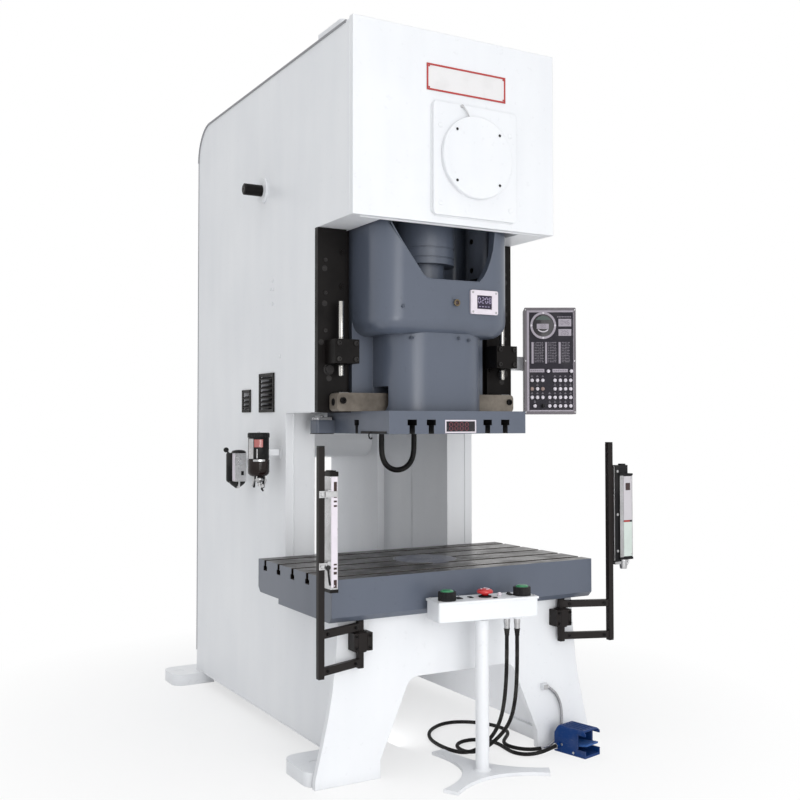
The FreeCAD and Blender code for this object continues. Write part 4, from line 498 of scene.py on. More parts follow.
def piece(body, finish_name, place=ON_PRESS, bevel=0.0, sharp=38.0, stands_for=(), name=None):
    """Makes a piece of the press, which rides on a body, out of the function below it.

    That function draws the piece in mm and gives it its name; bevel is in mm, sharp in degrees, and
    stands_for names the CAD nodes that the piece is seen in place of.
    """
    def make(draw):
        draft = bmesh.new()
        draw(draft)
        bmesh.ops.recalc_face_normals(draft, faces=draft.faces)
        draft.transform(ROW @ place)
        label = name or draw.__name__
        mesh = bpy.data.meshes.new(label)
        draft.to_mesh(mesh)
        draft.free()
        mesh.polygons.foreach_set("use_smooth", [True] * len(mesh.polygons))
        mesh.materials.append(FINISH[finish_name])
        made = bpy.data.objects.new(label, mesh)
        bpy.context.scene.collection.objects.link(made)
        if bevel:
            rounding = made.modifiers.new("rounded_edges", "BEVEL")
            rounding.width = bevel / 1000.0
            rounding.segments = 2
            rounding.limit_method = "ANGLE"
            rounding.angle_limit = radians(sharp)
            rounding.harden_normals = True
        else:
            mesh.set_sharp_from_angle(angle=radians(sharp))
        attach(made, body)
        if stands_for:
            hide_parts(*stands_for)
        return made
    return make


# --- Cords ---
def route(points):
    """A smooth line whose control points are the route's points, in the drawing's mm."""
    curve = bpy.data.curves.new("route", "CURVE")
    curve.dimensions = "3D"
    spline = curve.splines.new("NURBS")
    spline.points.add(len(points) - 1)
    for point, (x, y, z) in zip(spline.points, points):
        point.co = (*at(x, y, z), 1.0)
    spline.order_u = 3
    spline.use_endpoint_u = True
    curve.resolution_u = 12
    return curve


def cord_piece(name, points, diameter, length, finish_name, body, **facts):
    """A smooth cord along its route."""
    curve = route(points)
    curve.bevel_depth = diameter / 2000.0
    curve.bevel_resolution = 6
    curve.use_fill_caps = True
    curve.materials.append(FINISH[finish_name])
    made = bpy.data.objects.new(name, curve)
    bpy.context.scene.collection.objects.link(made)
    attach(made, body)
    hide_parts(name.replace("_line", ""))
    return made


def followed(points):
    """Close points along a route's smooth line, in mm of the drawing."""
    line = bpy.data.objects.new("followed", route(points))
    bpy.context.scene.collection.objects.link(line)
    bpy.context.view_layer.update()
    mesh = bpy.data.meshes.new_from_object(line)
    found = [ROW.inverted() @ v.co for v in mesh.vertices]
    bpy.data.objects.remove(line)
    bpy.data.meshes.remove(mesh)
    return found


PEDAL_CABLE_ROUTE = [
    (129.5, -227.7, 572.0), (130.0, -227.0, 470.0), (133.0, -220.0, 374.0), (138.0, -203.0, 288.0),
    (144.0, -172.0, 208.0), (144.0, -126.0, 142.0), (131.0, -76.0, 88.0), (111.0, -27.0, 44.0),
    (90.0, 20.0, 17.0), (73.0, 64.0, 8.5), (67.0, 105.2, 8.5), (79.3, 151.6, 8.5),
    (113.4, 185.7, 8.5), (160.0, 198.2, 8.5), (206.6, 185.7, 8.5), (240.7, 151.6, 8.5),
    (253.2, 105.0, 8.5), (251.0, 57.0, 8.5), (243.0, 8.0, 8.5), (240.0, -42.0, 8.5),
    (262.0, -88.0, 8.5), (303.0, -120.0, 14.0), (355.0, -127.0, 23.0), (409.5, -113.5, 27.9)]
CONSOLE_CABLE_ROUTE = [
    (94.1, -206.5, 572.0), (94.0, -206.0, 470.0), (95.0, -200.0, 374.0), (98.0, -184.0, 284.0),
    (103.0, -154.0, 204.0), (104.0, -110.0, 134.0), (95.0, -58.0, 76.0), (74.0, -6.0, 33.0),
    (48.0, 48.0, 12.0), (28.0, 112.0, 8.5), (18.0, 199.0, 8.5), (32.0, 300.0, 8.5),
    (85.0, 395.0, 8.5), (173.0, 458.0, 8.5), (249.0, 468.0, 8.5), (312.0, 438.0, 8.5),
    (356.0, 394.0, 8.5), (388.0, 339.0, 8.5), (403.0, 282.0, 8.5), (398.0, 226.0, 8.5),
    (371.0, 180.0, 8.5), (330.0, 142.0, 8.5), (293.0, 105.0, 8.5), (274.0, 62.0, 8.5),
    (278.0, 15.0, 8.5), (303.0, -30.0, 8.5), (348.0, -58.0, 8.5), (395.0, -60.0, 8.5)]
CONDUIT_ROUTE = [
    (429.1, -34.3, 258.9), (460.0, -36.0, 240.0), (486.0, -38.0, 204.0), (500.0, -39.0, 160.0),
    (503.0, -40.0, 113.0), (493.0, -42.0, 69.0), (468.0, -47.0, 34.0), (434.0, -55.0, 14.0),
    (396.3, -59.8, 8.7)]
HOSE_ROUTE = [
    (-39.0, 610.0, 1459.6), (-40.0, 612.0, 1351.6), (-39.0, 614.0, 1234.0), (12.0, 616.0, 1183.0),
    (84.0, 616.0, 1183.0), (135.0, 614.0, 1234.0), (136.0, 612.0, 1351.6), (135.0, 610.0, 1459.6)]


@piece("frame", "zinc")
def cable_union(draft):
    """The coupling where the black cable meets the metal conduit on the floor."""
    add_turned(draft, (372.0, -59.6, 8.5), (1, 0, 0),
               [(8.4, 0), (8.4, 8), (8.5, 9), (8.5, 34), (8.4, 35), (8.2, 44)], 24)


cord_piece("pedal_cable_line", PEDAL_CABLE_ROUTE, 16.0, 1383.0, "rubber_black", "frame",
           far_end="object", stiffness="medium", lay="loose")
cord_piece("console_cable_line", CONSOLE_CABLE_ROUTE, 16.0, 1924.0, "rubber_black", "frame",
           far_end="fitting", stiffness="medium", lay="loose", with_pieces=[cable_union])
cord_piece("slide_hose_line", HOSE_ROUTE, 26.0, 654.0, "hose_black", "slide",
           far_end="object", stiffness="limp", lay="hanging")

CONDUIT_R = 6.5
CONDUIT_RIB = 3.6  # from one rib to the next
CONDUIT_STEPS = 4  # rings drawn on each rib


@piece("frame", "conduit_steel", sharp=80.0, stands_for=("conduit",))
def conduit_line(draft):
    """Wound steel strip: a rib at every turn."""
    line = followed(CONDUIT_ROUTE)
    points = []
    radii = []
    travelled = 0.0
    for here, after in zip(line, line[1:]):
        length = (after - here).length
        pieces_here = max(1, round(length / (CONDUIT_RIB / CONDUIT_STEPS)))
        for i in range(pieces_here):
            share = i / pieces_here
            points.append(here.lerp(after, share))
            turn = (travelled + length * share) / CONDUIT_RIB
            radii.append(CONDUIT_R - 0.9 * (0.5 + 0.5 * cos(2 * pi * turn)) ** 2)
        travelled += length
    points.append(line[-1])
    radii.append(CONDUIT_R)
    add_pipe(draft, points, radii, 14)


[tuple(ROW @ p) for p in followed(CONDUIT_ROUTE)]


# --- Small shapes that many pieces share ---
def add_screw(draft, seat, outward, size):
    """A socket head screw: a chamfered head with a recess."""
    r = size * 0.75
    recess, top, floor = size * 0.46, size * 0.58, size * 0.2
    add_turned(draft, seat, outward, [(r, 0), (r, size * 0.5), (r * 0.9, top), (recess, top),
                                      (recess, floor), (0, floor)], 18)


def add_ring(draft, centre, axis, outer, inner, height, steps=40):
    add_turned(draft, centre, axis, [(inner, 0), (inner, height), (outer, height), (outer, 0)], steps, True)


def add_frame(draft, x0, x1, z0, z1, front, rear, border):
    """A flat rectangular frame that faces the front."""
    add_boxes(draft,
              (x0, x1, front, rear, z1 - border, z1), (x0, x1, front, rear, z0, z0 + border),
              (x0, x0 + border, front, rear, z0 + border, z1 - border),
              (x1 - border, x1, front, rear, z0 + border, z1 - border))


SEGMENTS = {"0": "abcdef", "1": "bc", "2": "abged", "3": "abgcd", "4": "fgbc", "5": "afgcd", "6": "afgedc",
            "7": "abc", "8": "abcdefg"}
SEGMENT_ENDS = {"a": ((0, 2), (1, 2)), "b": ((1, 1), (1, 2)), "c": ((1, 0), (1, 1)), "d": ((0, 0), (1, 0)),
                "e": ((0, 0), (0, 1)), "f": ((0, 1), (0, 2)), "g": ((0, 1), (1, 1))}


def add_digits(draft, number, x, z, high, front, rear):
    """Seven-segment digits that face the front."""
    unit = high / 2.0
    stroke = high * 0.07
    for place, digit in enumerate(number):
        left = x + place * high * 0.78
        for name in SEGMENTS[digit]:
            (ax, az), (bx, bz) = SEGMENT_ENDS[name]
            wide = unit * 0.9
            x0, x1 = left + ax * wide - stroke, left + bx * wide + stroke
            z0, z1 = z + az * unit - stroke, z + bz * unit + stroke
            if ax != bx:
                x0, x1 = x0 + stroke * 2.2, x1 - stroke * 2.2
            else:
                z0, z1 = z0 + stroke * 2.2, z1 - stroke * 2.2
            add_box(draft, x0, x1, front, rear, z0, z1)


# --- Head ---
GIB_FACE = 328
PAD_SCREWS = [(x, z) for x in (-101, 251) for z in (2320, 2645)]
COVER_SCREWS = [(x, z) for x in (-32.5, 182.5) for z in (2417.5, 2632.5)]
GIB_SCREWS = ((464, 2100), (464, 1959), (464, 1798))
GIB_PLUGS = ((468, 2064), (468, 1914), (484, 1748), (447, 1595))


@piece("frame", "plate_white", bevel=0.8)
def head_plate(draft):
    add_box(draft, -158, 240, -2.5, 0, 2790, 2903)


@piece("frame", "border_red", bevel=0.3)
def head_plate_border(draft):
    add_frame(draft, -158, 240, 2790, 2903, -3.6, -2.5, 8.0)
    for x, z in product((-146, 228), (2802, 2891)):
        add_turned(draft, (x, -3.6, z), FRONT, [(4, 0), (3.4, 1.4), (0, 2.0)], 14)


@piece("frame", "zinc", bevel=0.8)
def crank_pointer(draft):
    """The crank angle pointer, held by a small clip on the pad's upper edge."""
    add_turned(draft, (4, -20, 2738), FRONT, [(7, 0), (7, 6), (5, 8), (0, 8)], 18)
    add_pipe(draft, [(4, -28, 2738), (20, -32, 2718), (41, -30, 2686)], [3.4, 3.0, 2.2], 10)


@piece("frame", "frame_white", bevel=0.3)
def bolt_plugs(draft):
    """Painted plugs over the pad's screws, and the bushes round the cover's screws."""
    for x, z in PAD_SCREWS:
        add_turned(draft, (x, -19.5, z), FRONT, [(10.9, 0), (10.9, 1.2), (9.5, 1.8), (0, 2.0)], 24)
    for x, z in COVER_SCREWS:
        add_turned(draft, (x, -30, z), FRONT,
                   [(8.6, 0), (8.6, 12.2), (6.4, 12.2), (6.0, 11.4), (0, 11.4)], 24)


@piece("frame", "bolt_black", bevel=0.5, stands_for=("frame_bolts",))
def bolt_heads(draft):
    """Low screw heads on the cover, the gibs and the knock-out brackets."""
    for x, z in COVER_SCREWS:
        add_turned(draft, (x, -41.4, z), FRONT,
                   [(6.0, 0), (6.0, 1.6), (5, 2.4), (3, 2.4), (3, 0.6), (0, 0.6)], 20)
    for side in SIDES:
        for x, z in GIB_SCREWS:
            add_turned(draft, (side * x, GIB_FACE, z), FRONT,
                       [(9, 0), (9, 4), (8, 5), (4.4, 5), (4.4, 2), (0, 2)], 20)
        for x, z in product((369, 448), (1672, 1740)):
            add_screw(draft, (side * x, 230, z), FRONT, 14)
        add_turned(draft, (side * 450, GIB_FACE, 1632), FRONT, [(24, 0), (24, 3), (23, 3.6), (0, 3.6)], 32)
        add_hexagon(draft, (side * 450, 324.4, 1632), FRONT, 36, 14)
        for x, z in GIB_PLUGS:
            add_turned(draft, (side * x, 329, z), FRONT, [(12.6, 0), (12.6, 1.2), (0, 1.2)], 24)


def add_bead(draft, start, end, size):
    """A weld bead: overlapping ripples in a corner."""
    start, end = Vector(start), Vector(end)
    length = (end - start).length
    count = max(2, int(length / 5.0))
    points = [start.lerp(end, i / count) for i in range(count + 1)]
    add_pipe(draft, points, [size * (1.0 if i % 2 else 0.82) for i in range(count + 1)], 8)


@piece("frame", "frame_white", sharp=70.0)
def weld_beads(draft):
    for side in SIDES:
        add_bead(draft, (side * 499, 30, 2244), (side * 499, 30, 3026), 3.0)
        add_bead(draft, (side * 460, 667, 812), (side * 460, 667, 1446), 4.0)
    add_bead(draft, (-452, 31, 2238), (452, 31, 2238), 4.0)
    add_bead(draft, (-452, 31, 3033), (452, 31, 3033), 4.0)


@piece("frame", "frame_white", sharp=70.0)
def pad_bead(draft):
    for z in (2269, 2746):
        add_bead(draft, (-120, -1, z), (270, -1, z), 4.0)
    for x in (-137, 287):
        add_bead(draft, (x, -1, 2286), (x, -1, 2729), 4.0)


# --- Left and right side plates ---
SIDE_FACE = 500


@piece("frame", "frame_white", bevel=0.4)
def side_plugs(draft):
    """Plugs and small screws in the side plates."""
    for y, z, r in ((830, 2067, 8), (847, 2030, 6), (821, 2027, 6), (829, 1960, 8), (739, 1710, 9)):
        add_turned(draft, (-SIDE_FACE, y, z), (-1, 0, 0), [(r, 0), (r, 2.5), (r * 0.7, 4.0), (0, 4.0)], 16)
    for y, z in ((1620, 900), (1620, 1300), (300, 2900), (1600, 2900)):
        add_turned(draft, (SIDE_FACE, y, z), (1, 0, 0), [(10, 0), (10, 3), (7, 5), (0, 5)], 18)


@piece("frame", "frame_white", sharp=70.0)
def side_beads(draft):
    """Weld beads: along the top of the throat, at the foot of each side plate and round the feet."""
    add_bead(draft, (-501, 400, 1451), (-501, 655, 1451), 3.2)
    add_bead(draft, (501, 400, 1451), (501, 655, 1451), 3.2)
    for side in SIDES:
        add_bead(draft, (side * SIDE_FACE, 274, 57), (side * SIDE_FACE, 1780, 57), 4.0)
        for y0, y1 in ((12, 262), (1792, 1896)):
            add_bead(draft, (side * 501, y0, 57), (side * 501, y1, 57), 5.0)


@piece("frame", "black_screws")
def vent_screws(draft):
    for y0, y1, z0, z1 in ((801, 983, 1455, 1638), (1098, 1208, 1457, 1567)):
        for y, z in product((y0 + 7, y1 - 7), (z0 + 7, z1 - 7)):
            add_turned(draft, (-506, y, z), (-1, 0, 0), [(4.5, 0), (3.8, 1.8), (0, 2.2)], 12)


@piece("frame", "guard_black", bevel=0.8)
def lifting_bar_ends(draft):
    """Keeper plates and centre marks on the ends of the lifting bar."""
    for side in SIDES:
        add_turned(draft, (side * 598, 944, 2510), (side, 0, 0),
                   [(24, 0), (20, 4), (5, 4), (3, 1), (0, 1)], 32)


@piece("frame", "frame_white", sharp=50.0)
def foot_caps(draft):
    """Flush caps in the anchor holes of the feet."""
    for side, y in product(SIDES, (135, 1895)):
        add_turned(draft, (side * 600, y, 50), UP, [(20.6, 0), (20.6, 5), (19, 5.6), (0, 6.2)], 32)


@piece("frame", "edge_shade_grey", sharp=60.0)
def edge_shade_lines(draft):
    """Painted shade: grey beads along the top and rear edges of both side plates, standing in for the shadow
    line along these edges.
    """
    turns = [i * pi / 36 for i in range(19)]
    bend = [(1720 + 180 * sin(a), 2852 + 180 * cos(a)) for a in turns]
    for side in SIDES:
        line = [(side * SIDE_FACE, y, z) for y, z in [(60, 3032), (900, 3032)] + bend]
        add_pipe(draft, line, 6.0, 10)
        add_pipe(draft, [(side * SIDE_FACE, 1900, z) for z in (2852, 1500, 160)], 3.2, 8)


# --- Rear and top ---
REAR_SHEET = 1906
LUGS = [(x, y) for x in (-360, 360) for y in (620, 1560)]


@piece("frame", "frame_white", bevel=2.0)
def rear_cover(draft):
    """The sheet cover over the drive, bolted to the rear plate, with pressed louvres."""
    add_box(draft, -300, 300, 1900, REAR_SHEET, 1500, 2700)
    for x in (-150, 150):
        for i in range(6):
            z = 2150 + i * 60
            add_prism(draft, [(x - 90, REAR_SHEET, z), (x - 90, REAR_SHEET + 15, z),
                              (x - 90, REAR_SHEET, z + 26)], (180, 0, 0))


@piece("frame", "machined_steel", bevel=1.5)
def rear_cover_handle(draft):
    """The handle of the rear cover."""
    add_boxes(draft,
              (-60, 60, REAR_SHEET, 1918, 1700, 1712), (-60, -48, REAR_SHEET, 1930, 1700, 1712),
              (48, 60, REAR_SHEET, 1930, 1700, 1712), (-60, 60, 1922, 1930, 1700, 1712))


@piece("frame", "black_screws", bevel=0.5)
def rear_cover_screws(draft):
    for x, z in product((-285, -95, 95, 285), (1515, 2685)):
        add_screw(draft, (x, REAR_SHEET, z), (0, 1, 0), 10)
    for z, x in product((1800, 2100, 2400), (-285, 285)):
        add_screw(draft, (x, REAR_SHEET, z), (0, 1, 0), 10)


@piece("frame", "frame_white", sharp=70.0)
def roof_seams(draft):
    """The lifting lugs with their weld beads, and a strip over the roof's seam."""
    for x, y in LUGS:
        arch = [(x - 12, y - 48 * cos(pi * i / 12), 3046 + 27 * sin(pi * i / 12)) for i in range(13)]
        add_prism(draft, [(x - 12, y + 48, 3031), (x - 12, y - 48, 3031)] + arch, (24, 0, 0))
        for side in (-13, 13):
            add_bead(draft, (x + side, y - 46, 3033), (x + side, y + 46, 3033), 4.0)
    add_box(draft, -455, 455, 1180, 1230, 3032, 3038)


@piece("frame", "machined_steel")
def roof_lug_rings(draft):
    for x, y in LUGS:
        add_ring(draft, (x - 14, y, 3052), (1, 0, 0), 15, 10.5, 28, 24)


# --- Slide ---
DISPLAY_FACE = 55
SIGHT_X, SIGHT_Z = 26, 1917
NIPPLES = ((-235, 61, 1889), (-167, 103, 1763), (61, 99, 1769), (112, 97, 1762))


@piece("slide", "screen_violet")
def counter_screen(draft):
    add_box(draft, 122, 212, 57.2, 59.2, 1898, 1957)


@piece("slide", "digits_pale")
def counter_digits(draft):
    """The counter's digits and a row of marks under them."""
    add_digits(draft, "0208", 136, 1923, 24, 56.6, 57.3)
    for x in (140, 155, 170, 185):
        add_box(draft, x, x + 9, 56.6, 57.3, 1906, 1909)


@piece("slide", "zinc")
def display_screws(draft):
    for x, z in product((108, 227), (1884, 1968)):
        add_turned(draft, (x, DISPLAY_FACE, z), FRONT, [(5, 0), (4.4, 2), (0, 2.4)], 14)


@piece("slide", "brass", bevel=0.8)
def sight_bezel(draft):
    """The brass bezel of the oil sight."""
    add_ring(draft, (SIGHT_X, 57, SIGHT_Z), FRONT, 15, 9, 4.5, 32)


@piece("slide", "lens_dark")
def sight_glass(draft):
    add_turned(draft, (SIGHT_X, 56.5, SIGHT_Z), FRONT, [(9, 0), (8, 2), (4, 3.2), (0, 3.6)], 24)


@piece("slide", "slide_grey", bevel=0.5)
def slide_tag(draft):
    add_box(draft, 7, 43, 63.6, 65.2, 1931, 1946)


@piece("slide", "slide_grey", bevel=0.3)
def grease_nipples(draft):
    """Grease nipples: a hexagon, a neck and a ball."""
    for x, y, z in NIPPLES:
        add_hexagon(draft, (x, y + 6, z), FRONT, 13, 11)
        add_turned(draft, (x, y - 5, z), FRONT, [(3.4, 0), (3.4, 5), (2.4, 6), (2.4, 8), (3.4, 9.6),
                                                 (3.0, 12), (0, 13)], 16)


# --- Inside the slide's well ---
@piece("slide", "slide_grey", bevel=3.0)
def well_rib(draft):
    """A cast rib on the well's right wall, with a ledge at its foot."""
    add_prism(draft, [(289.5, 118, 2016), (262, 118, 2016), (262, 118, 2270), (289.5, 118, 2318)],
              (0, 30, 0))
    add_box(draft, 270, 289.5, 148, 420, 2016, 2040)


# Painted light: the splash plate carries the slide's grey made lighter where the well lies in shade.
@piece("slide", "well_lit_grey", bevel=1.5, sharp=50.0)
def well_splash_plate(draft):
    """A curved splash plate behind the rib."""
    arc = [(289.5 - 34 * sin(pi * i / 12), 210 + 170 * (1 - cos(pi * i / 12)) / 2) for i in range(13)]
    near = [(x, y, 2060) for x, y in arc]
    add_prism(draft, near, (0, 0, 240))


@piece("slide", "black_screws")
def well_screws(draft):
    for z in (2060, 2130, 2200, 2260):
        add_screw(draft, (276, 118, z), FRONT, 10)
    for z in (2100, 2233):
        add_turned(draft, (256, 290, z), (-1, 0, 0), [(12, 0), (12, 3), (7, 5), (0, 5)], 20)


@piece("slide", "slide_grey", sharp=70.0)
def pocket_lip(draft):
    """The rounded lip along the pocket's mouth."""
    mouth = [(-300, 2329), (-288, 2234), (-250, 2178), (-215, 2131), (-180, 2086), (-146, 2042),
             (-134, 2026), (-118, 2017), (-94, 2012), (0, 2012), (100, 2013), (149, 2014), (172, 2038),
             (191, 2071), (209, 2115), (222, 2161), (231, 2234), (236, 2329)]
    add_pipe(draft, [(x, 66.5, z) for x, z in mouth], 3.0, 8)


@piece("rod", "slide_grey", bevel=1.0)
def rod_clamp(draft):
    """The split clamp that locks the screw between the rod's barrel and its eye."""
    add_ring(draft, (0, 287, 2301), UP, 131, 96, 22, 64)
    add_box(draft, -26, 26, 142, 170, 2301, 2323)


@piece("rod", "black_screws")
def rod_clamp_screws(draft):
    for side in SIDES:
        add_screw(draft, (side * 26, 150, 2312), (side, 0, 0), 8)
    for c, s in around(10):
        add_turned(draft, (112 * c, 287 + 112 * s, 2323), UP, [(5, 0), (5, 4), (0, 4)], 12)


# --- Knock-out ---
STOP_ROD_X, STOP_ROD_Y = 414, 279


@piece("frame", "chrome", sharp=40.0, stands_for=("knockout_rod_left", "knockout_rod_right"))
def stop_rods(draft):
    """The bright stop rods, chamfered at the ends, with two threaded lengths each."""
    for side in SIDES:
        add_turned(draft, (side * STOP_ROD_X, STOP_ROD_Y, 1603), UP,
                   [(1, 0), (10.5, 0), (12, 2), (12, 316), (10.5, 318), (0, 318)], 28)
        for low in (1603, 1758):
            ridges = []
            for i in range(14 if low == 1603 else 3):
                ridges += [(12.05, i * 3.0), (12.9, i * 3.0 + 1.5)]
            ridges.append((12.05, len(ridges) * 1.5))
            add_turned(draft, (side * STOP_ROD_X, STOP_ROD_Y, low + 2), UP, ridges, 20)


@piece("frame", "gib_iron", bevel=0.8)
def stop_rod_nuts(draft):
    for side in SIDES:
        add_hexagon(draft, (side * STOP_ROD_X, STOP_ROD_Y, 1655), DOWN, 30, 9)


@piece("knockout", "black_screws")
def bar_screws(draft):
    for side in SIDES:
        add_screw(draft, (side * 425, 240, 1499), FRONT, 18)
        add_turned(draft, (side * 450, 279, 1493), (side, 0, 0), [(16, 0), (14, 2.5), (5, 2.5), (3, 0.5),
                                                                   (0, 0.5)], 28)


@piece("knockout", "machined_steel", bevel=0.8)
def bar_wear_plates(draft):
    """Wear plates let into the bar where the stop rods meet it."""
    for side in SIDES:
        add_box(draft, side * 392, side * 436, 252, 306, 1532, 1534.5)


# --- Slide plate ---
@piece("slide", "bezel_white", bevel=0.8)
def counter_frame(draft):
    add_frame(draft, -74, 80, 1362, 1417, -8.5, -6, 6)


@piece("slide", "screen_dark")
def counter_glass(draft):
    add_box(draft, -68, 74, -7.4, -6, 1368, 1411)


@piece("slide", "segments_red")
def counter_segments(draft):
    add_digits(draft, "8888", -52, 1373, 33, -7.9, -7.3)


@piece("slide", "plastic_black", bevel=0.8)
def plate_strip(draft):
    """A black cover strip on the plate's left edge, and the lug's rubber pad."""
    add_box(draft, -341.5, -338, 16, 240, 1360, 1370)
    add_box(draft, -424, -340, 502, 572, 1356, 1360)


@piece("slide", "black_screws", sharp=70.0)
def plate_hook(draft):
    add_pipe(draft, [(-338, 150, 1366), (-347, 150, 1364), (-350, 150, 1352), (-346, 150, 1341),
                     (-339, 150, 1338), (-334, 150, 1343)], 3.2, 10)


@piece("slide", "zinc", bevel=2.0)
def lug_block(draft):
    """The sensor block on the lug, with its screw."""
    add_box(draft, -418, -346, 506, 568, 1417, 1431)
    add_turned(draft, (-382, 537, 1431), UP, [(9, 0), (9, 5), (6, 7), (0, 7)], 20)


@piece("slide", "zinc", bevel=0.6)
def hose_fittings(draft):
    """The hose's hexagon fittings under the manifold, and the plugs behind it."""
    for x in (-39, 135):
        add_hexagon(draft, (x, 610, 1448), UP, 36, 12)
        add_ring(draft, (x, 610, 1432), UP, 16, 13.2, 16, 28)
    for x in (0, 48, 96):
        add_hexagon(draft, (x, 640, 1481), (0, 1, 0), 20, 8)


# --- Gibs ---
@piece("frame", "gib_iron", bevel=0.6)
def gib_screws(draft):
    """Adjusting screws with lock nuts down the gibs, and a wiper block at each gib's foot."""
    for side in SIDES:
        for z in (1530, 1650, 1830, 1990, 2140):
            add_hexagon(draft, (side * 386, GIB_FACE, z), FRONT, 22, 9)
            add_turned(draft, (side * 386, 319, z), FRONT, [(7, 0), (7, 7), (4, 7), (4, 3), (0, 3)], 16)
        add_box(draft, side * 341, side * 364, 332, 356, 1450, 1456)


# --- Table ---
DISC_Y = 285


@piece("frame", "black_screws")
def disc_screws(draft):
    """Four sunk screws in the centre disc."""
    for c, s in around(4, pi / 4):
        add_turned(draft, (105 * c, DISC_Y + 105 * s, 802), UP,
                   [(12, 0), (12, 3.6), (7, 3.6), (6, 0.8), (0, 0.8)], 24)


@piece("frame", "machined_steel")
def disc_rim(draft):
    add_ring(draft, (0, DISC_Y, 806), UP, 140, 136.5, 0.5, 96)
    add_ring(draft, (0, DISC_Y, 805.6), UP, 34, 31, 0.8, 48)


# --- Bed ---
@piece("frame", "zinc", bevel=0.4)
def conduit_nut(draft):
    """The union nut where the conduit leaves its elbow, and a small square plate beside it."""
    start = Vector(CONDUIT_ROUTE[0])
    way = (Vector(CONDUIT_ROUTE[1]) - start).normalized()
    add_hexagon(draft, start - way * 12, way, 20, 9)
    add_ring(draft, start - way * 3, way, 8.6, 6.6, 9, 20)
    add_box(draft, 402, 422, -48.5, -46, 252, 272)
    for x, z in product((405.5, 418.5), (255.5, 268.5)):
        add_turned(draft, (x, -48.5, z), FRONT, [(2.2, 0), (2, 1), (0, 1.3)], 10)


# --- Air units on the left side ---
LUBRICATOR = (-597, 752)
FILTER = (-588, 1098)


def add_band(draft, centre, outer, inner, start, end, low, high):
    """A curved plate round an upright axis, from one bearing to another in degrees."""
    (x, y), steps = centre, max(3, int((end - start) / 6))
    turns = [(start + (end - start) * i / steps) * pi / 180 for i in range(steps + 1)]
    arc = [(x + outer * cos(a), y + outer * sin(a), low) for a in turns]
    arc += [(x + inner * cos(a), y + inner * sin(a), low) for a in reversed(turns)]
    add_prism(draft, arc, (0, 0, high - low))


@piece("frame", "frame_white", bevel=1.5)
def unit_brackets(draft):
    """The wall brackets of both units."""
    add_boxes(draft,
              (-556, -500, 738, 772, 1256, 1286), (-503, -500, 716, 796, 1240, 1300),
              (-560, -500, 1050, 1090, 1190, 1236), (-504, -500, 1030, 1110, 1176, 1250))


@piece("frame", "plastic_black", sharp=50.0, stands_for=("lubricator_unit",))
def lubricator_body(draft):
    x, y = LUBRICATOR
    add_turned(draft, (x, y, 1241), UP, [(20, 0), (46, 0), (47, 1.5), (47, 94), (46, 96), (0, 96)], 56)
    add_turned(draft, (x, y, 1337), UP, [(40, 0), (48, 1), (49, 3), (49, 20), (46.5, 24), (30, 24),
                                         (28, 22), (0, 22)], 56)
    for c, s in around(24):
        add_turned(draft, (x + 48.6 * c, y + 48.6 * s, 1340), UP, [(1.4, 0), (1.4, 17), (0, 17)], 8)


@piece("frame", "bowl_dark", sharp=50.0)
def lubricator_bowl(draft):
    x, y = LUBRICATOR
    add_turned(draft, (x, y, 1240), DOWN,
               [(48, 0), (48.5, 3), (48.5, 56), (46, 65), (38, 73), (22, 78), (8, 79)], 56)


@piece("frame", "zinc", sharp=50.0)
def lubricator_bright(draft):
    """The bright band, a thin bright strip that is a painted highlight, the bowl's clamp ring, the filling
    plug, and the fittings and tubes below.
    """
    x, y = LUBRICATOR
    add_band(draft, LUBRICATOR, 48.6, 46, 183, 219, 1244, 1334)
    add_band(draft, LUBRICATOR, 50, 47, 219, 284, 1232, 1241)
    # Painted highlight: a thin bright strip down the body, where a reflection runs.
    add_band(draft, LUBRICATOR, 48.4, 46.5, 237, 243, 1246, 1288)
    add_turned(draft, (x, y, 1359), UP, [(7, 0), (7, 4), (5, 6), (0, 6)], 18)
    add_turned(draft, (x - 4, y - 20, 1163), DOWN,
               [(8, 0), (15, 3), (20, 9), (20, 16), (14, 23), (8, 26), (7, 34), (8, 36), (8, 42),
                (0, 43)], 28)
    add_turned(draft, (x + 6, y - 26, 1130), (0.2, -0.5, -1),
               [(6, 0), (10, 4), (10, 14), (6, 20), (0, 21)], 20)
    add_pipe(draft, [(x - 18, y - 26, 1168), (x - 22, y - 30, 1152), (x - 14, y - 24, 1136)],
             [3.2, 2.8, 2.2], 10)
    add_pipe(draft, [(x + 6, y + 52, 1190), (x + 2, y + 60, 1150), (x - 2, y + 72, 1116)],
             [6.0, 6.5, 4.5], 14)
    add_pipe(draft, [(x + 22, y - 18, 1168), (x + 28, y - 22, 1146), (x + 18, y - 18, 1120),
                     (x + 8, y - 12, 1108)], [3.2, 2.8, 2.8, 2.2], 10)


